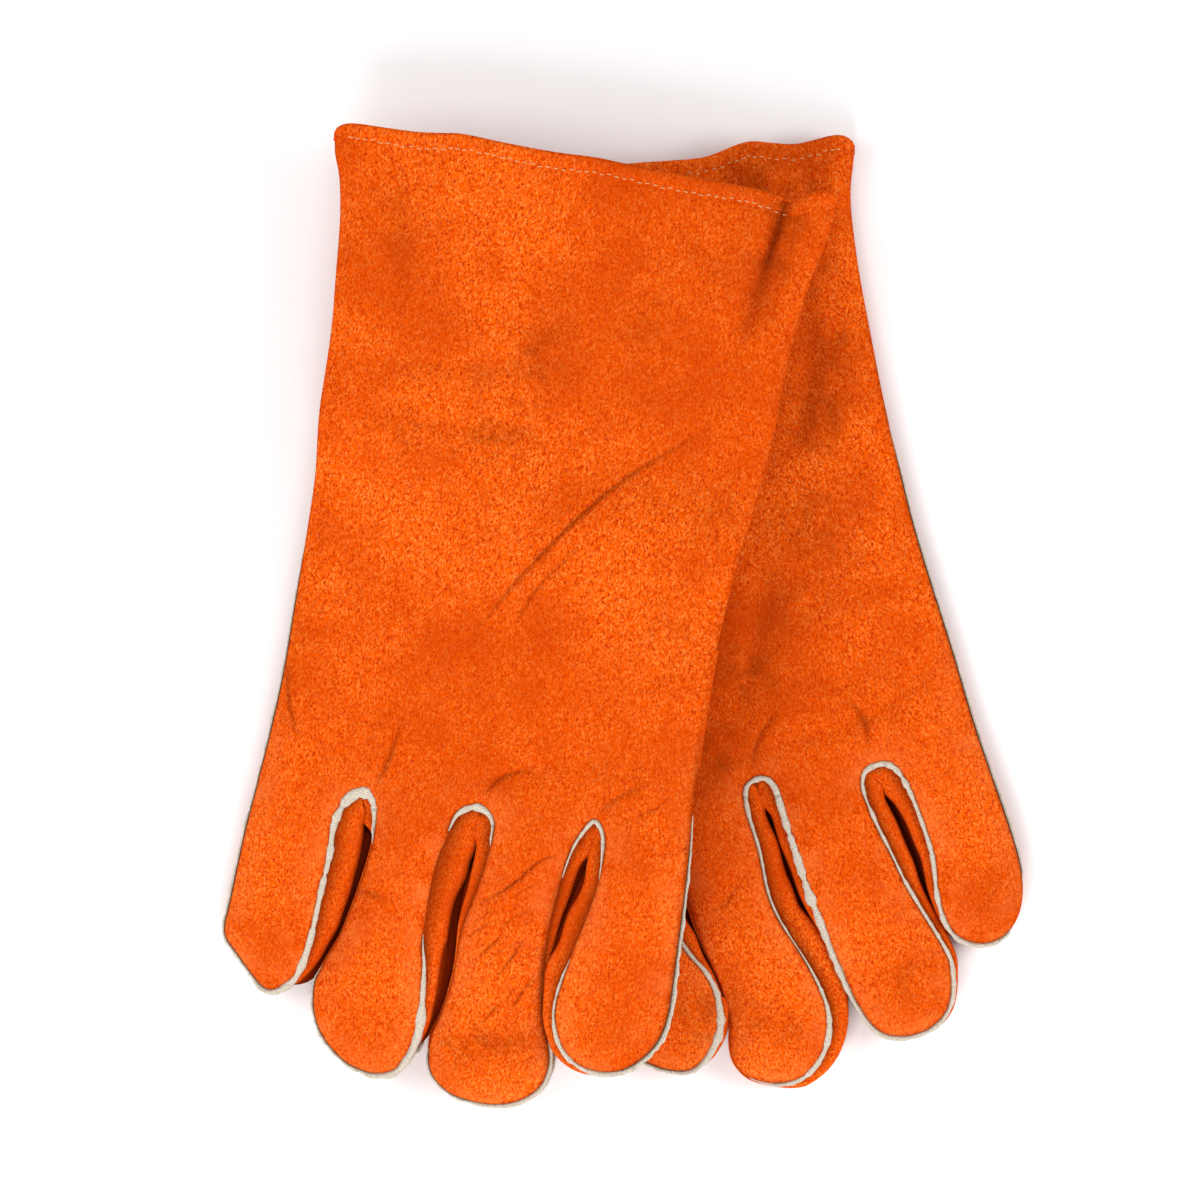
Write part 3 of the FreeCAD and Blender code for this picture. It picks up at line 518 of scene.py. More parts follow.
        # The hem is a turned edge: a low ridge outside its stitches and a groove under them.
        ridge = 0.35 * np.exp(-((hem - 2.4) / 2) ** 2) - 0.5 * np.exp(-((hem - HEM_STITCH + 1.1) / 1.1) ** 2)
        mouth = smooth(v, WRIST[0], -140)
        gape = GAPE * mouth * np.clip(1 - (uv[:, 0] / 94) ** 2, 0, 1)
        shape = (waves - crease + fold) * inner + ridge + gape
        top = edge_top + (tall - edge_top) * q + shape * np.minimum(q + 0.2, 1)
        low = np.maximum(edge_low - (tall + edge_low) * pillow(d, PALM_ROUNDED), -tall)
        return top, low, d, np.clip(painted_shade, 0, 1.2)

    def stain_at(self, uv):
        """How much staining and painted shade each point has, from 0 to 1."""
        found = np.zeros(len(uv))
        for spot, reach, amount in self.stains:
            found = np.maximum(found, amount * np.exp(-(np.linalg.norm(uv - spot, axis=1) / reach) ** 2))
        return found


def part_of(keep, *tables):
    """Triangles renumbered, and only the points that they use."""
    used = np.unique(keep)
    renumber = np.full(keep.max() + 1, -1)
    renumber[used] = np.arange(len(used))
    return renumber[keep], [None if t is None else t[used] for t in tables]


def off_edge(points, loop, least):
    """Only the points that are further than least from a closed line."""
    far, _ = nearest(points, np.vstack([loop, loop[:1]]))
    return points[far > least]


def fill(points, edges, loop, least):
    """Triangles between points and inside their first ones, which are a loop. All are clockwise, and slivers
    with no more than least of twice their area are left out."""
    edges = [(i, (i + 1) % len(loop)) for i in range(len(loop))] + edges
    inside = [list(range(len(loop)))]
    verts, _, faces, *_ = delaunay_2d_cdt([Vector(p) for p in points], edges, inside, 1, 0.05)
    faces = np.array([tuple(f) for f in faces if len(f) == 3])
    faces, (verts,) = part_of(faces, np.array([tuple(v) for v in verts]))
    a, b, c = (verts[faces[:, k]] for k in range(3))
    turned = (b[:, 0] - a[:, 0]) * (c[:, 1] - a[:, 1]) - (b[:, 1] - a[:, 1]) * (c[:, 0] - a[:, 0])
    faces[turned > 0] = faces[turned > 0][:, ::-1]
    return verts, faces[np.abs(turned) > least]


def finger_root(glove, k, count=24):
    """A line across a finger's root, where its leather is parted from the hand's."""
    flat = glove.bodies[DIGITS[k]].flat
    ends = []
    for way in (-1, 1):
        line = flat[:2, 3] + BLEND_START * flat[:2, 1] + way * np.arange(0, 40, 0.25)[:, None] * flat[:2, 0]
        uv = line * (glove.index, -1)
        ends.append(uv[glove.digit_at(uv) == k][-1])
    return np.array([ends[0] + (ends[1] - ends[0]) * t for t in np.linspace(0, 1, count)])


def triangulate(glove):
    """A glove's flat leather: points, triangles, and the finger that each triangle is in, or -1."""
    seam, hem = glove.seam, glove.hem
    loop = np.vstack([seam, hem[1:-1]])
    _, out = sides_of(hem)
    chosen = [loop]
    chosen += [off_edge(seam[2:-2] - glove.out[2:-2] * d, loop, 0.8 * d) for d in ROWS]
    chosen += [off_edge(hem[1:-1] - out[1:-1] * d, loop, 0.8 * min(d, ROWS[-1])) for d in HEM_ROWS]
    for line, depth, width in glove.creases:
        if width < FINE:
            across = np.gradient(line, axis=0)[:, ::-1] * (1, -1) / 2
            chosen.append(off_edge(np.vstack([line, line + across * 0.9, line - across * 0.9]), loop, 4))
    low, high = loop.min(0), loop.max(0)
    rows = np.arange(low[1], high[1], GRID * 0.866)
    grid = np.array([(u + 0.5 * GRID * (k % 2), v) for k, v in enumerate(rows)
                     for u in np.arange(low[0], high[0], GRID)])
    grid = off_edge(grid, loop, ROWS[-1] + 1.2)
    near_hem, _ = nearest(grid, hem)
    points = np.vstack(chosen + [grid[near_hem > HEM_ROWS[-1] + 1.2]])
    edges = []
    for k in range(len(DIGITS)):
        line = finger_root(glove, k)
        edges += [(len(points) + i, len(points) + i + 1) for i in range(len(line) - 1)]
        points = np.vstack([points, line])
    verts, faces = fill(points, edges, loop, 0.02)
    middle = verts[faces].mean(1)
    digit = glove.digit_at(middle)
    for k in range(len(DIGITS)):
        digit[(digit == k) & (glove.along(middle, k) < BLEND_START)] = -1
    return verts, faces, digit


def build(name, places, faces, material, cloth=None, marks=None, normals=None):
    """A mesh object from places in millimetres, smooth but for faces of more than four corners, the ends of
    tubes. cloth is where each point was on the flat leather, and marks are numbers for the materials."""
    mesh = bpy.data.meshes.new(name)
    mesh.from_pydata((np.asarray(places) * MM).tolist(), [], [list(map(int, f)) for f in faces])
    mesh.validate()
    if cloth is not None:
        data = mesh.attributes.new("cloth", "FLOAT_VECTOR", "POINT")
        data.data.foreach_set("vector", (np.asarray(cloth) * MM).astype(np.float32).ravel())
        for key, values in (marks or {}).items():
            data = mesh.attributes.new(key, "FLOAT", "POINT")
            data.data.foreach_set("value", np.asarray(values, np.float32))
    mesh.shade_smooth()
    for face in mesh.polygons:
        face.use_smooth = len(face.vertices) <= 4
    if normals is not None:
        mesh.normals_split_custom_set_from_vertices(normals.tolist())
    mesh.materials.append(material)
    piece = bpy.data.objects.new(name, mesh)
    bpy.context.scene.collection.objects.link(piece)
    return piece


def normals_of(places, faces):
    """Smooth normals of a skin of triangles."""
    found = np.zeros_like(places)
    a, b, c = (places[faces[:, k]] for k in range(3))
    face = np.cross(b - a, c - a)
    for k in range(3):
        np.add.at(found, faces[:, k], face)
    return found / np.maximum(np.linalg.norm(found, axis=1), 1e-9)[:, None]


def rim_of(faces):
    """The edges that only one triangle has."""
    edges = np.vstack([faces[:, [0, 1]], faces[:, [1, 2]], faces[:, [2, 0]]])
    _, first, count = np.unique(np.sort(edges, axis=1), axis=0, return_index=True, return_counts=True)
    return edges[first[count == 1]]


def leather(name, places, faces, cloth, marks, thickness=LEATHER, normals=None, parted=None, material=None):
    """A sheet of leather that grows inwards from its outer skin. An edge whose points are both parted has no
    rim, because the next sheet goes on from it."""
    faces = np.asarray(faces)
    normals = normals_of(places, faces) if normals is None else normals
    tables = (places, normals, cloth, parted, *marks.values())
    faces, (outer, out, cloth, parted, *values) = part_of(faces, *tables)
    rim = rim_of(faces)
    if parted is not None:
        rim = rim[~(parted[rim[:, 0]] & parted[rim[:, 1]])]
    twice = {key: np.tile(mark, 2) for key, mark in zip(marks, values)}
    return build(name, np.vstack([outer, outer - out * thickness]), two_sided(faces, rim, len(outer)),
                 material or SUEDE, np.tile(cloth, (2, 1)), twice, np.vstack([out, -out]))


def two_sided(faces, rim, n):
    """Faces of a skin, of the same n points further on turned round, and of the rim between them."""
    return faces.tolist() + (faces[:, ::-1] + n).tolist() + [[b, a, a + n, b + n] for a, b in rim.tolist()]


def lattice(rows, columns, ring_rows=False, ring_columns=False):
    """Quads between rows of points, closed into a ring either way."""
    r, a = np.indices((rows - (not ring_rows), columns - (not ring_columns))).reshape(2, -1)
    s, b = (r + 1) % rows, (a + 1) % columns
    return np.column_stack([r * columns + a, s * columns + a, s * columns + b, r * columns + b])


def tube(sides, length):
    """Faces of a closed tube of so many rows of points."""
    first = [r * length for r in range(sides)]
    return lattice(sides, length, ring_rows=True).tolist() + [first[::-1], [v + length - 1 for v in first]]


def triangles(quads):
    """Two triangles from each quad."""
    quads = np.asarray(quads)
    return np.vstack([quads[:, [0, 1, 2]], quads[:, [0, 2, 3]]])


def faced(glove, faces):
    """Turns faces round on the glove whose pattern is mirrored."""
    return faces if glove.index > 0 else [f[::-1] for f in faces]


# Materials ---------------------------------------------------------------------------------------------


class Shader:
    """A short way to write a node material on a Principled shader."""

    def __init__(self, name, **sockets):
        self.material = bpy.data.materials.new(name)
        self.material.use_nodes = True
        self.tree = self.material.node_tree
        self.principled = self.tree.nodes["Principled BSDF"]
        for key, value in sockets.items():
            self.principled.inputs[key.replace("_", " ")].default_value = value
        self.cloth = self.node("ShaderNodeAttribute", attribute_name="cloth").outputs["Vector"]

    def node(self, kind, inputs=None, **settings):
        made = self.tree.nodes.new(kind)
        for key, value in settings.items():
            setattr(made, key, value)
        for key, value in (inputs or {}).items():
            if isinstance(value, bpy.types.NodeSocket):
                self.tree.links.new(value, made.inputs[key])
            else:
                made.inputs[key].default_value = value
        return made

    def mark(self, name):
        return self.node("ShaderNodeAttribute", attribute_name=name).outputs["Fac"]

    def noise(self, size, detail=3.0, roughness=0.6, vector=None):
        """Noise whose lumps are about size millimetres across."""
        made = self.node("ShaderNodeTexNoise", {"Vector": vector or self.cloth, "Scale": 1 / (size * MM),
                                                "Detail": detail, "Roughness": roughness})
        return made.outputs["Fac"]

    def ramp(self, value, low, high, to_low=0.0, to_high=1.0):
        made = self.node("ShaderNodeMapRange", {"Value": value, "From Min": low, "From Max": high,
                                                "To Min": to_low, "To Max": to_high})
        return made.outputs["Result"]

    def math(self, operation, a, b):
        return self.node("ShaderNodeMath", {0: a, 1: b}, operation=operation).outputs[0]

    def mix(self, amount, a, b, blend="MIX"):
        made = self.node("ShaderNodeMix", {"Factor": amount}, data_type="RGBA", blend_type=blend)
        for socket, value in ((made.inputs[6], a), (made.inputs[7], b)):
            if isinstance(value, bpy.types.NodeSocket):
                self.tree.links.new(value, socket)
            else:
                socket.default_value = value
        return made.outputs[2]

    def bump(self, height, distance, strength=1.0, normal=None):
        inputs = {"Height": height, "Distance": distance * MM, "Strength": strength}
        if normal is not None:
            inputs["Normal"] = normal
        return self.node("ShaderNodeBump", inputs).outputs["Normal"]

    def finish(self, colour, normal=None, roughness=None):
        self.tree.links.new(colour, self.principled.inputs["Base Color"])
        if normal is not None:
            self.tree.links.new(normal, self.principled.inputs["Normal"])
        if roughness is not None:
            self.tree.links.new(roughness, self.principled.inputs["Roughness"])
        return self.material


def suede():
    s = Shader("orange suede", Roughness=0.95, Sheen_Weight=0.03, Sheen_Roughness=0.5,
               Sheen_Tint=(1.0, 0.35, 0.05, 1), Specular_IOR_Level=0.01)
    # The nap lies in short streaks along the glove.
    streak = s.node("ShaderNodeMapping", {"Vector": s.cloth, "Scale": (1.0, 0.6, 1.0)}).outputs["Vector"]
    nap = s.node("ShaderNodeTexNoise", {"Vector": streak, "Scale": 1 / (0.75 * MM), "Detail": 3.0,
                                        "Roughness": 0.6, "Distortion": 0.5}).outputs["Fac"]
    pile = s.noise(0.65, 4, 0.7, streak)
    red, mid, pale = (0.44, 0.020, 0.0002, 1), (0.82, 0.097, 0.0010, 1), (1.0, 0.28, 0.045, 1)
    colour = s.mix(s.ramp(nap, 0.36, 0.55), red, mid)
    colour = s.mix(s.ramp(pile, 0.50, 0.64, 0, 0.8), colour, pale)
    # Patches, clouds and zones where the hide took more dye, each of a size, within a range of its noise.
    patch = s.noise(9, 4, 0.65)
    for shade, low, high, amount, dyed in ((patch, 0.50, 0.72, 0.25, (0.45, 0.032, 0.0006, 1)),
                                           (s.noise(34, 3, 0.55), 0.44, 0.64, 0.48, (0.50, 0.040, 0.0006, 1)),
                                           (s.noise(95, 2, 0.5), 0.44, 0.60, 0.40, (0.50, 0.042, 0.0006, 1))):
        colour = s.mix(s.ramp(shade, low, high, 0, amount), colour, dyed)
    uneven = s.math("ADD", patch, s.math("MULTIPLY", pile, 0.6))
    # Paler nap near the finger seams, in uneven patches.
    pale_nap_amount = s.math("MULTIPLY", s.mark("worn"), s.ramp(uneven, 0.70, 0.95))
    # Staining, partly real and partly painted shade, in uneven blotches.
    blotch_of_stain_and_shade = s.math("MULTIPLY", s.mark("stain"), s.ramp(s.noise(7, 4, 0.65), 0.34, 0.66))
    worn, grime_and_shade, shadow, seam_shade = ((0.92, 0.215, 0.045, 1), (0.28, 0.034, 0.002, 1), (0.10, 0.006, 0.0004, 1),
                                (0.10, 0.010, 0.001, 1))
    colour = s.mix(s.math("MULTIPLY", pale_nap_amount, 0.4), colour, worn)
    colour = s.mix(s.math("MULTIPLY", blotch_of_stain_and_shade, 0.72), colour, grime_and_shade)
    # Painted shade in creases and deep between the fingers.
    colour = s.mix(s.ramp(s.mark("crease"), 0.08, 1.5, 0, 0.96), colour, shadow)
    # Painted shade along the seams, in the groove where the welt sits.
    colour = s.mix(s.math("MULTIPLY", s.mark("edge"), 0.75), colour, seam_shade)
    normal = s.bump(nap, 0.4, 0.8)
    normal = s.bump(pile, 0.25, 0.7, normal)
    return s.finish(colour, normal, s.ramp(pile, 0.2, 0.8, 1.0, 0.88))


def welt_leather():
    s = Shader("undyed welt leather", Roughness=0.85, Specular_IOR_Level=0.2, Sheen_Weight=0.1)
    fibre = s.noise(0.5, 4, 0.8)
    patch = s.noise(5, 3, 0.6)
    colour = s.mix(s.ramp(fibre, 0.36, 0.60), (0.27, 0.22, 0.16, 1), (0.78, 0.71, 0.59, 1))
    colour = s.mix(s.ramp(patch, 0.52, 0.72, 0, 0.45), colour, (0.47, 0.40, 0.30, 1))
    # Painted shade where the welt goes down into its seam.
    colour = s.mix(s.mark("edge"), colour, (0.055, 0.035, 0.02, 1))
    return s.finish(colour, s.bump(fibre, 0.3, 0.9))


def thread():
    s = Shader("cream thread", Roughness=0.6, Specular_IOR_Level=0.3)
    twist = s.node("ShaderNodeTexWave", {"Vector": s.cloth, "Scale": 900.0, "Distortion": 1.0},
                   bands_direction="DIAGONAL").outputs["Fac"]
    colour = s.mix(twist, (0.58, 0.22, 0.07, 1), (0.82, 0.46, 0.21, 1))
    return s.finish(colour, s.bump(twist, 0.12, 0.8))


def fleece():
    s = Shader("cream cotton fleece", Roughness=0.95, Sheen_Weight=0.3, Specular_IOR_Level=0.1)
    tuft = s.noise(1.2, 4, 0.7)
    colour = s.mix(s.ramp(tuft, 0.35, 0.65), (0.50, 0.43, 0.32, 1), (0.80, 0.74, 0.62, 1))
    return s.finish(colour, s.bump(tuft, 0.5, 0.9))


SUEDE, WELT, THREAD, FLEECE = suede(), welt_leather(), thread(), fleece()


# Pieces ------------------------------------------------------------------------------------------------


def stands_for(piece, slot, *nodes):
    """Hides the CAD nodes that a piece replaces. piece and slot, what it is made of, are not used."""
    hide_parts(*nodes)


def bend(piece, glove, digit):
    """Bakes a piece's place into its points. Where it would start and end bending with its finger is worked
    out and not used.
    """
    place = glove.bodies[digit].place
    start, end = (tuple((place[:3, 3] + s * place[:3, 1]) * MM) for s in (BLEND_START, BLEND_END))
    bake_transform(piece)
    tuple(start)
    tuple(end)


def bend_wrist(piece, glove):
    """Bakes a piece's place into its points. Where it would start and end bending at the wrist is worked out
    and not used.
    """
    place = glove.bodies["hand"].place
    start, end = (tuple((place[:3, 3] - v * place[:3, 1]) * MM) for v in (WRIST_START, WRIST_END))
    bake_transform(piece)
    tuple(start)
    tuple(end)


def hem_fold(glove, verts, top, low, level):
    """Carries the leather over the hem and back inside. Returns all points, where they are on the flat
    leather, their heights, and the new triangles."""
    way, out = sides_of(glove.hem)
    ids = np.array([np.argmin(((verts - p) ** 2).sum(1)) for p in glove.hem])
    fresh = np.concatenate([[True], ids[1:] != ids[:-1]])
    ids, out, way = ids[fresh], out[fresh], way[fresh]
    run = np.arange(len(ids)) * STEP
    far = np.minimum(run, run[-1] - run)
    # Towards its ends, at the side seams, the turn gets thinner, and the part inside draws in from the seams.
    room = np.clip((top - low)[ids] / 2 / HEM_ROOM, 0.04, 1) * np.sqrt(np.clip(far / 12, 0.02, 1))
    inward = 4 * np.exp(-far / 9) * np.where(run < run[-1] / 2, 1, -1)
    z, side = (top, 1) if level else (low, -1)
    uv, flat, heights, rows = [verts], [verts], [z], [ids]
    total, run = len(verts), 0
    for (before, above), (reach, drop) in zip(HEM_TURN, HEM_TURN[1:]):
        run += math.hypot(reach - before, drop - above)
        flat.append(verts[ids] + out * run)
        shift = inward * max(0.0, reach / HEM_TURN[-1][0])
        uv.append(verts[ids] + out * (reach * np.minimum(room + 0.2, 1))[:, None] + way * shift[:, None])
        heights.append(z[ids] + side * drop * room)
        rows.append(np.arange(total, total + len(ids)))
        total += len(ids)
    quads = [[a[k], b[k], b[k + 1], a[k + 1]] for a, b in zip(rows, rows[1:]) for k in range(len(ids) - 1)]
    return np.vstack(uv), np.vstack(flat), np.concatenate(heights), triangles(quads)


def leather_panels(glove, verts, faces, digit):
    """Back and palm of the hand with its cuff, and of each finger."""
    # crease here is the shade painted into the creases.
    top, low, d, crease = glove.heights(verts)
    name = glove.name
    _, where = nearest(verts, glove.seam)
    shown = np.interp(where, np.arange(len(glove.seam)), smooth(glove.welt, 0.15, 0.5))
    # Painted shade along the seams, fainter where the welt is hidden.
    edge, stain = np.exp(-(d / 0.7) ** 2) * (0.2 + 0.8 * shown), glove.stain_at(verts)
    # Paler nap close to the seams, towards and on the fingers.
    worn = np.exp(-(d / 8) ** 2) * smooth(verts[:, 1], 70, 125)
    owner = glove.digit_at(verts)
    parted = np.zeros(len(verts), bool)
    for k in range(len(DIGITS)):
        parted |= (owner == k) & (np.abs(glove.along(verts, k) - BLEND_START) < ON_LINE)
    for which, level in (("back", True), ("palm", False)):
        uv, flat, z, fold = hem_fold(glove, verts, top, low, level)
        added = len(uv) - len(verts)
        places = glove.lay(uv, z, np.concatenate([owner, np.zeros(added, int)]))
        every = np.vstack([faces, fold])
        group = np.concatenate([digit, np.full(len(fold), -1)])
        if (glove.index > 0) != level:
            every = every[:, ::-1]
        normals, cloth = normals_of(places, every), raised(flat, 40.0 * level)
        # Only the back gets the staining, which is partly painted shade.
        marks = {"crease": crease * level, "edge": edge, "stain": stain * level, "worn": worn}
        marks = {key: np.concatenate([values, np.zeros(added)]) for key, values in marks.items()}
        open_edge = np.concatenate([parted, np.zeros(added, bool)])
        for k, part in [(-1, "hand")] + list(enumerate(DIGITS)):
            title = f"{name}_{which}_suede" if k < 0 else f"{name}_{part}_{which}_suede"
            piece = leather(title, places, every[group == k], cloth, marks, LEATHER, normals, open_edge)
            if k < 0:
                stands_for(piece, "split_leather", f"{name}_cuff_{which}", f"{name}_hand_{which}")
                bend_wrist(piece, glove)
            else:
                stands_for(piece, "split_leather", f"{name}_{part}_{which}")
                bend(piece, glove, part)


def runs(mask, least=2):
    """Start and end of each stretch where mask holds, if it has more than least points."""
    found, start = [], None
    for i, m in enumerate(list(mask) + [False]):
        if m and start is None:
            start = i
        if not m and start is not None:
            found.append((start, i - 1))
            start = None
    return [r for r in found if r[1] - r[0] >= least]


def fourchette(glove, i, k, rows=15):
    """A strip from back to palm along the seam's points i, in rows: places, cloth places, painted shade along
    its seams, and painted shade deep between the fingers.
    """
    uv, out, wall = glove.seam[i], glove.out[i], glove.wall[i]
    uneven = 1 + 0.16 * noise_at(raised(uv, 0), 13, 41)
    # It bulges by its wall near the back, where it shows, and further down fills the rest of the gap.
    found = []
    for r in range(rows):
        t = r / (rows - 1)
        inside = 0 < r < rows - 1
        upper = math.sin(math.pi * t ** 0.85) ** 0.8 if inside else 0
        lower = math.sin(math.pi * t ** 2.0) if inside else 0
        bulge = np.maximum(wall * upper * uneven, (wall + glove.deep[i]) * lower)
        z = glove.high[i] + (glove.low[i] - glove.high[i]) * (1 - math.cos(math.pi * t)) / 2
        at = uv + out * bulge[:, None]
        puff = 0.9 * noise_at(raised(at, z), 10, 31) * math.sin(math.pi * t)
        found.append((glove.lay(at, z + puff, np.full(len(i), k)), raised(at, 80 + z * 1.5),
                      # Painted shade along its top and bottom seams.
                      np.full(len(i), math.exp(-(min(t, 1 - t) * 14) ** 2)),
                      # Painted shade deep between close fingers.
                      glove.crevice_shade[i] * 1.5 * float(smooth(t, 0.22, 0.52))))
    return [np.concatenate(column) for column in zip(*found)], lattice(rows, len(i))


def fourchettes(glove):
    """The strips that join back and palm round each finger."""
    for k, digit in enumerate(DIGITS):
        strips, quads, total = [], [], 0
        for first, last in runs((glove.owner == k) & (glove.high - glove.low > 0.6)):
            i = np.arange(max(first - 1, 0), min(last + 2, len(glove.seam)))
            strip, faces = fourchette(glove, i, k)
            strips.append(strip)
            quads.append(faces + total)
            total += len(strip[0])
        places, cloth, edge, painted_shade = (np.concatenate(column) for column in zip(*strips))
        faces = faced(glove, triangles(np.vstack(quads)))
        # Its edge mark is painted shade along its seams, and its crease mark is painted shade deep between
        # the fingers.
        piece = leather(f"{glove.name}_{digit}_fourchette_suede", places, faces, cloth,
                        {"edge": edge, "crease": painted_shade}, THIN_LEATHER)
        plural = "s" if digit in ("ring", "middle") else ""
        stands_for(piece, "split_leather", f"{glove.name}_{digit}_fourchette{plural}")
        bend(piece, glove, digit)


def welt_strip(glove, first, last, top, lay):
    """A welt along a stretch of seam, as points, faces, cloth places and the marks of shade painted where it
    goes into the seam.
    """
    i = np.arange(first, last + 1)
    uv, out = glove.seam[i], glove.out[i]
    z = (glove.high if top else glove.low)[i]
    # Flat in a shut seam, it stands up where the seam is open to a fourchette. Where it doesn't show, it
    # draws back into the seam.
    lean = glove.open[i] * np.clip(0.35 + glove.wall[i] / 5, 0, 1) * math.radians(78)
    seed = 50 if top else 70
    rough = noise_at(raised(uv, z), 3.1, seed) + 0.7 * noise_at(raised(uv, z), 1.3, seed)
    shown = smooth(glove.welt[i], 0.25, 0.6)
    width = glove.welt[i] * np.clip(1 + 0.55 * rough, 0.3, 1.6)
    stand = np.sin(lean)
    thick = (1 - stand) * 0.75 + stand * np.maximum(width, 0.3) * 0.5
    proud = (1 - stand) * width + stand * (1.9 + 0.35 * rough)
    proud = shown * np.maximum(proud, 0) + 0.03
    side = 1 if top else -1
    section = ((-1.4, -1), (0, -1), (0.3, -1), (0.8, -0.9), (1, -0.45), (1.03, 0.4), (0.8, 0.9), (0.3, 1),
               (0, 1), (-1.4, 1))
    places, cloth, edge = [], [], []
    for reach, across in section:
        far = (reach * proud if reach > 0 else reach) - 0.9 * (1 - shown)
        ahead = far * np.cos(lean) - across * thick * np.sin(lean)
        up = far * np.sin(lean) + across * thick * np.cos(lean)
        places.append(lay(uv + out * ahead[:, None], z + side * up))
        cloth.append(raised(uv + out * ahead[:, None], 120 + up + 3 * across))
        # Painted shade on the part of the welt inside the seam, and fainter at its foot.
        edge.append(np.full(len(i), 1.0 if reach <= 0 else 0.35 if reach < 0.5 else 0.0))
    faces = tube(len(section), len(i))
    if not top:
        faces = [f[::-1] for f in faces]
    return np.vstack(places), faces, np.vstack(cloth), np.concatenate(edge)


def gather(name, glove, strips, material):
    """One piece from several strips."""
    places, faces, cloth, edge = zip(*strips)
    firsts = np.cumsum([0] + [len(p) for p in places])
    every = [[first + v for v in face] for first, strip in zip(firsts.tolist(), faces) for face in strip]
    return build(name, np.vstack(places), faced(glove, every), material, np.vstack(cloth),
                 {"edge": np.concatenate(edge)})


def welts(glove):
    """The welts down the outer seams, round the crotches, and round each finger."""
    name = glove.name
    s = np.zeros(len(glove.seam))
    for k in range(len(DIGITS)):
        mine = glove.owner == k
        s[mine] = glove.along(glove.seam, k)[mine]
    on_hand = s < BLEND_START
    strips = [welt_strip(glove, max(first - 1, 0), min(last + 1, len(s) - 1), True, glove.lay)
              for first, last in runs(on_hand, 0)]
    piece = gather(f"{name}_side_welting", glove, strips, WELT)
    stands_for(piece, "welt_leather", f"{name}_cuff_welts", f"{name}_hand_welts")
    bend_wrist(piece, glove)
    for k, digit in enumerate(DIGITS):
        strips = []
        for first, last in runs((glove.owner == k) & ~on_hand):
            own = lambda uv, z, k=k: glove.lay(uv, z, np.full(len(uv), k))
            strips.append(welt_strip(glove, first, last, True, own))
            for a, b in runs(glove.open[first:last + 1] > 0.3):
                strips.append(welt_strip(glove, first + a, first + b, False, own))
        piece = gather(f"{name}_{digit}_welting", glove, strips, WELT)
        stands_for(piece, "welt_leather", f"{name}_{digit}_welt")
        bend(piece, glove, digit)


def stitch(glove, at, way, out, k, level):
    """One stitch at a place of the flat leather: thread from one hole to the next."""
    points, across = [], []
    around = np.arange(6) * math.pi / 3
    for t in (-0.5, -0.38, 0, 0.38, 0.5):
        hole = abs(t) == 0.5
        girth = STITCH_THICK / 2 * (0.25 if hole else 0.9 if t else 1.0)
        for angle in around:
            points.append(at + way * t * STITCH_LONG + out * girth * math.cos(angle))
            across.append(girth * math.sin(angle) - (0.3 if hole else 0))
    points, across = np.array(points), np.array(across)
    top, low, _, _ = glove.heights(points[[12, 15]])
    base, side = (top.mean(), 1) if level else (low.mean(), -1)
    z = base + side * (across + 0.1 + 0.12 * math.sin(k * 1.9))
    faces = lattice(5, 6, ring_columns=True)[:, [0, 3, 2, 1]].tolist()
    faces += [[5, 4, 3, 2, 1, 0], [24, 25, 26, 27, 28, 29]]
    faces = faces if level else [f[::-1] for f in faces]
    return glove.lay(points, z), faces, raised(points, 160 + across), np.zeros(len(z))


def hem_stitches(glove):
    """A row of separate stitches round the hem, on the back and on the palm."""
    hem, _ = spline(glove.hem, STITCH_PITCH)
    way, out = sides_of(hem)
    # The right glove's first ones are lost in the rolled corner of its hem.
    unseen = 8 if glove.name == "right" else 3
    strips = []
    for level in (True, False):
        for k in range(unseen, len(hem) - 3):
            inward = HEM_STITCH - 1.1 + 0.3 * math.sin(k * 2.4) + 0.3 * math.sin(k * 0.37)
            strips.append(stitch(glove, hem[k] - out[k] * inward, way[k], out[k], k, level))
    piece = gather(f"{glove.name}_hem_stitches", glove, strips, THREAD)
    stands_for(piece, "sewing_thread", f"{glove.name}_hem_thread")
    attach(piece, f"{glove.name}_cuff")


def lining(glove):
    """The fleece inside the cuff and the hand: a flat tube from the hem to the knuckles."""
    first, last = glove.seam[:len(glove.seam) // 4], glove.seam[-len(glove.seam) // 4:]
    hem_little, hem_index = glove.hem[-1], glove.hem[0]
    columns, rows = 44, 56
    places, cloth = [], []
    for r in range(rows):
        share = r / (rows - 1)
        ends = []
        for line, corner in ((first, hem_little), (last[::-1], hem_index)):
            v = corner[1] + LINING_INSET + (LINING_END - corner[1] - LINING_INSET) * share
            ends.append((np.interp(v, line[:, 1], line[:, 0]), v))
        (ua, va), (ub, vb) = ends
        t = (1 - np.cos(np.linspace(0, math.pi, columns))) / 2
        uv = np.column_stack([ua + (ub - ua) * (0.04 + 0.92 * t), va + (vb - va) * t])
        top, low, _, _ = glove.heights(uv)
        shut = math.sqrt(max(0.0, 1 - max(0.0, (share - 0.9) / 0.1) ** 2))
        middle = (top + low) / 2
        half = np.maximum((top - low) / 2 - LINING_GAP, 0.25) * np.sin(math.pi * (0.02 + 0.96 * t)) ** 0.25
        for side in (1, -1):
            z = middle + side * half * max(shut, 0.05)
            order = slice(None) if side == 1 else slice(None, None, -1)
            places.append(glove.lay(uv, z)[order])
            cloth.append(raised(uv, 200 + side * 20)[order])
    faces = triangles(lattice(rows, 2 * columns, ring_columns=True)[:, ::-1])
    piece = leather(f"{glove.name}_fleece_lining", np.vstack(places), faced(glove, faces), np.vstack(cloth),
                    {}, -FLEECE_THICK, material=FLEECE)
    stands_for(piece, "cotton_lining", f"{glove.name}_cuff_lining", f"{glove.name}_hand_lining")
    bend_wrist(piece, glove)


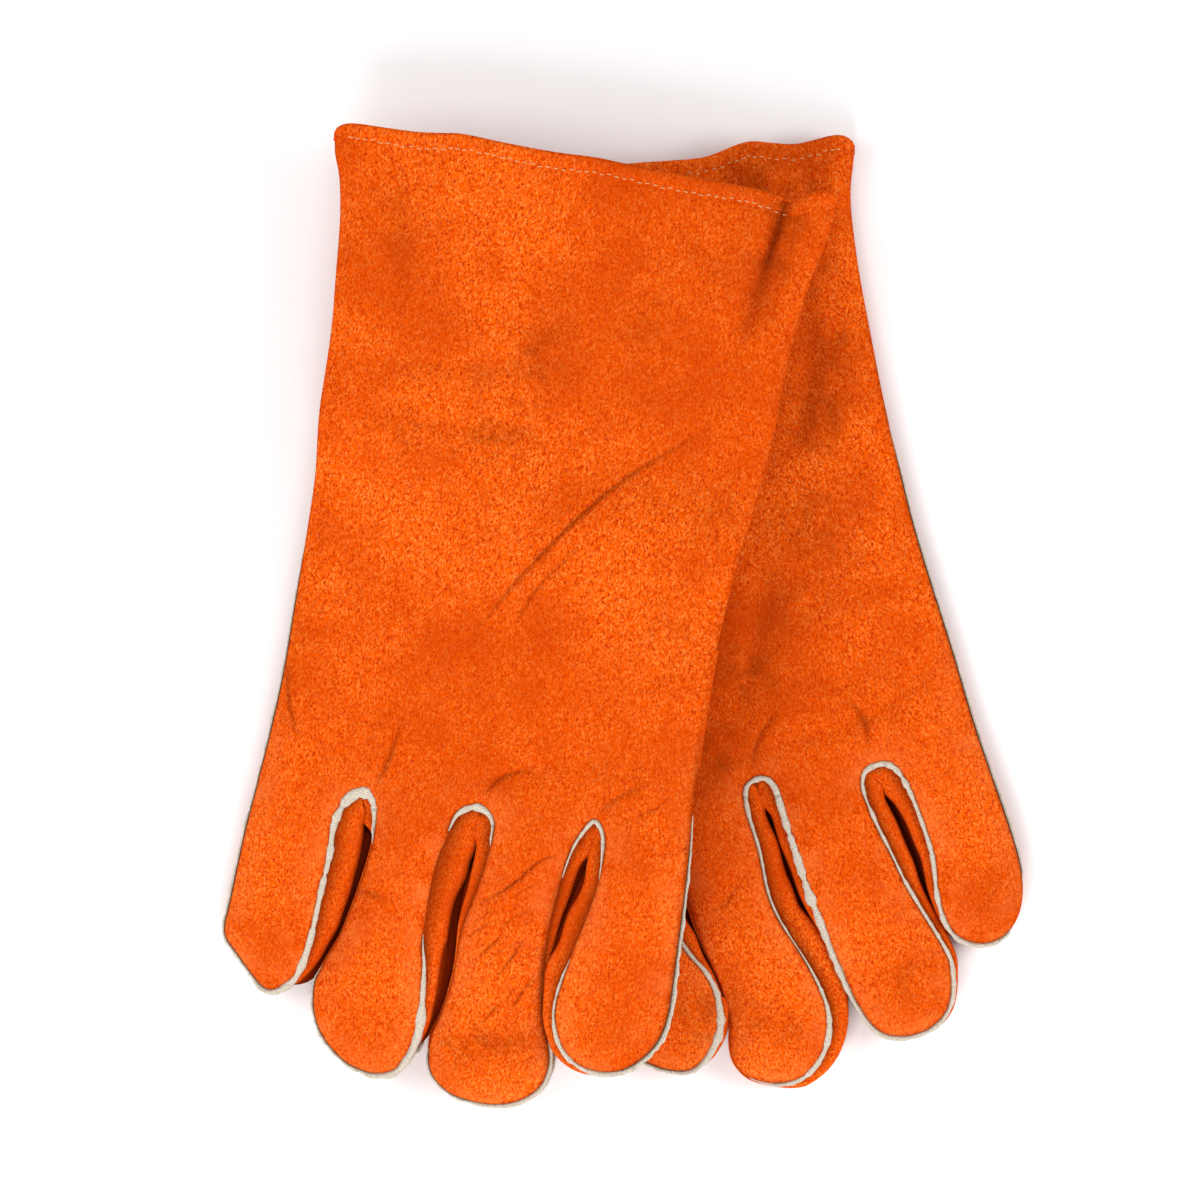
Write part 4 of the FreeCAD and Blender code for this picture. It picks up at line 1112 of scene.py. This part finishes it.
class Thumb:
    """A thumb's frame, its flat outline, and the move that lays it in the frame."""

    def __init__(self, glove):
        name = glove.name
        self.body, self.node = f"{name}_thumb", f"{name}_hand"
        joint = next(j for j in frame["joints"] if j["child"] == self.body)
        back, z = corners(f"{name}_thumb_back"), plate_normal(f"{name}_thumb_back")
        self.origin = np.array(joint["pos_m"]) / MM
        y = back.mean(0) - self.origin
        self.y = unit(y - (y @ z) * z)
        self.place = matrix(np.cross(self.y, z), self.y, z, self.origin)
        local = (back - self.origin) @ self.place[:3, :3]
        half, tip, self.tall = np.abs(local[:, 0]).max(), local[:, 1].max(), local[:, 2].max()
        hand = glove.bodies["hand"].place
        gap = (hand[:3, 3] - self.origin) @ z - glove.half["hand"]
        # A thumb beside the hand widens into the hand's edge. One under the palm is as wide at its root, and
        # rises into the palm.
        if gap < 0:
            self.rise = 0
            root = self.hand_edge(glove, hand)
            inner, self.root = math.copysign(1, root[-1][0]), root[0][1]
            start = root + [(inner * (half - 0.5), root[-1][1] + 12)]
            end = [(-inner * (half - 1), 0), (-inner * half * 0.6, 0.65 * self.root)]
        else:
            self.rise = max(gap - self.tall + 2.5, 0)
            inner, self.root = -1, -16.0
            start = [(-half - 2, self.root), (-half - 1, 0)]
            end = [(half + 1, 0), (half + 2, self.root)]
        outline = start + [(inner * x * half, y * tip) for x, y in THUMB_TIP] + end
        if outline[0][0] > outline[len(outline) // 2 + 3][0]:
            outline = outline[::-1]
        self.edge, _ = spline(outline, STEP)

    def hand_edge(self, glove, hand):
        """Places on the hand's edge beside the thumb's root, the last nearest its tip."""
        flat = np.linalg.inv(self.place) @ hand
        v = np.array([-10.0, -2.0, 6.0, 14.0, 22.0])
        edge = glove.seam[:-len(glove.seam) // 3:-1]
        p = raised(np.column_stack([glove.index * (np.interp(v, edge[:, 1], edge[:, 0]) - 3), -v]), 0)
        return [tuple(q) for q in (p @ flat[:3, :3].T + flat[:3, 3])[:, :2]]

    def lay(self, uv, height):
        climb = self.rise * (1 - smooth(uv[:, 1], self.root, 14))
        return rest_on_floor(raised(uv, height + climb) @ self.place[:3, :3].T + self.origin)

    def bend(self, piece):
        start, end = (tuple((self.origin + along * self.y) * MM) for along in (-8, 12))
        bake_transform(piece)
        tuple(start)
        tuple(end)


def thumb_fleece(thumb, verts, faces, half):
    """The lining between a thumb's two panels, where there is room for it."""
    faces, (verts, half) = part_of(faces[(half[faces] > 0.4).all(1)], verts, half)
    piece = build(f"{thumb.body}_fleece", np.vstack([thumb.lay(verts, half), thumb.lay(verts, -half)]),
                  two_sided(faces, rim_of(faces), len(verts)), FLEECE, np.tile(raised(verts, 220.0), (2, 1)))
    stands_for(piece, "cotton_lining", f"{thumb.body}_lining")
    thumb.bend(piece)


def thumb_welting(thumb, out):
    """The welt between a thumb's two panels."""
    rough = noise_at(raised(thumb.edge, 0), 2.5, 7)
    section = ((-1.4, -0.8), (0.9, -0.8), (1.5, -0.4), (1.5, 0.4), (0.9, 0.8), (-1.4, 0.8))
    places, cloth, edge = [], [], []
    for reach, up in section:
        at = thumb.edge + out * (reach * (1 + 0.25 * rough))[:, None]
        places.append(thumb.lay(at, np.full(len(at), up)))
        cloth.append(raised(at, 300.0 + up))
        # Painted shade on the part of the welt inside the seam.
        edge.append(np.full(len(at), float(reach < 0)))
    faces = [face[::-1] for face in tube(len(section), len(thumb.edge))]
    piece = build(f"{thumb.body}_welting", np.vstack(places), faces, WELT, np.vstack(cloth),
                  {"edge": np.concatenate(edge)})
    stands_for(piece, "welt_leather", f"{thumb.body}_welt")
    thumb.bend(piece)


def thumb_pieces(glove):
    """The thumb: two pillowed panels, the lining between them, and the welt in their seam."""
    thumb = Thumb(glove)
    loop = thumb.edge
    _, out = sides_of(loop)
    low, high = loop.min(0), loop.max(0)
    grid = np.array([(u, v) for u in np.arange(low[0], high[0], GRID)
                     for v in np.arange(low[1], high[1], GRID)])
    points = np.vstack([loop, loop[1:-1] - out[1:-1] * ROWS[1], loop[3:-3] - out[3:-3] * ROWS[2] * 1.4,
                        off_edge(grid, loop, 5)])
    verts, faces = fill(points, [], loop, -1)
    faces = faces[:, ::-1]
    d, _ = nearest(verts, loop)
    half = (thumb.tall - 0.2) * pillow(d, THUMB_ROUNDED)
    waves = 0.5 * noise_at(raised(verts, 0), 17, 90 + glove.index) * smooth(d, 0, 8)
    for which, side in (("back", 1), ("front", -1)):
        piece = leather(f"{thumb.body}_{which}_suede", thumb.lay(verts, side * half + waves * (side > 0)),
                        faces if side > 0 else faces[:, ::-1], raised(verts, 240.0 + 20 * side),
                        # Painted shade along the thumb's seam.
                        {"edge": np.exp(-(d / 0.9) ** 2)}, THUMB_LEATHER)
        stands_for(piece, "split_leather", f"{thumb.body}_{which}")
        thumb.bend(piece)
    thumb_fleece(thumb, verts, faces, half - 1.6)
    thumb_welting(thumb, out)


def thumb_strap(glove):
    """The reinforcement over the seam on the thumb side of the hand."""
    hand = glove.bodies["hand"].place
    along = -((corners(f"{glove.name}_thumb_strap") - hand[:3, 3]) @ hand[:3, 1])
    v = glove.seam[:, 1]
    index_side = np.arange(len(v)) > len(v) * 0.7
    i = np.where((glove.owner == 3) & (v > along.min()) & (v < along.max()) & index_side)[0]
    uv, out = glove.seam[i], glove.out[i]
    profile = ((-0.2, -0.6), (0.3, -1.2), (0.4, -2.2), (0, -3.2), (-0.9, -4.6), (-2.4, -5.8))
    places = [glove.lay(uv + out * reach, glove.high[i] + up, np.full(len(i), 3)) for reach, up in profile]
    cloth = [raised(uv, 330.0 + up) for reach, up in profile]
    faces = faced(glove, triangles(lattice(len(profile), len(i))))
    piece = leather(f"{glove.name}_thumb_strap_suede", np.vstack(places), faces, np.vstack(cloth), {},
                    THIN_LEATHER)
    stands_for(piece, "split_leather", f"{glove.name}_thumb_strap")
    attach(piece, f"{glove.name}_hand")


def sew(name):
    glove = Glove(name)
    verts, faces, digit = triangulate(glove)
    leather_panels(glove, verts, faces, digit)
    fourchettes(glove)
    welts(glove)
    hem_stitches(glove)
    lining(glove)
    thumb_pieces(glove)
    thumb_strap(glove)


# Scene -------------------------------------------------------------------------------------------------


def studio():
    scene = bpy.context.scene
    scene.view_settings.view_transform = "Standard"
    low, high = (Vector(corner) for corner in CAD_BOX)
    middle = (low + high) / 2
    span = high - low
    floor = Shader("pale floor", Roughness=0.9, Specular_IOR_Level=0.1)
    colour = floor.mix(floor.noise(30), (0.89, 0.89, 0.89, 1), (0.92, 0.92, 0.92, 1))
    mesh = bpy.data.meshes.new("floor")
    size = 6.0
    mesh.from_pydata([(x * size, y * size, low.z) for x, y in ((-1, -1), (1, -1), (1, 1), (-1, 1))], [],
                     [(0, 1, 2, 3)])
    mesh.materials.append(floor.finish(colour))
    stage = bpy.data.objects.new("floor", mesh)
    scene.collection.objects.link(stage)

    world = bpy.data.worlds.new("studio")
    world.use_nodes = True
    background = world.node_tree.nodes["Background"]
    background.inputs["Color"].default_value = (1, 1, 1, 1)
    background.inputs["Strength"].default_value = 0.50
    scene.world = world
    for name, place, size, power in (("key", (-0.25, -1.0, 1.0), 0.9, 14),
                                     ("left", (-1.15, 0.2, 0.9), 0.8, 9),
                                     ("right", (1.15, 0.1, 0.85), 0.8, 11)):
        light = bpy.data.lights.new(name, "AREA")
        light.size, light.energy = size, power
        lamp = bpy.data.objects.new(name, light)
        lamp.location = middle + Vector(place)
        lamp.rotation_euler = Vector(place).to_track_quat("Z", "Y").to_euler()
        scene.collection.objects.link(lamp)

    # Straight down, from far enough off that heights hardly change the outline, and a little off the pair's
    # middle.
    data = bpy.data.cameras.new("camera")
    camera = bpy.data.objects.new("camera", data)
    distance, shown = 2.18, 1.224 * span.y
    data.sensor_width = 36
    data.lens = data.sensor_width * distance / shown
    camera.location = (middle.x - 0.0276 * span.x, middle.y + 0.0132 * span.y, low.z + 0.02 + distance)
    scene.collection.objects.link(camera)
    scene.camera = camera


for glove_name in PATTERNS:
    sew(glove_name)
studio()
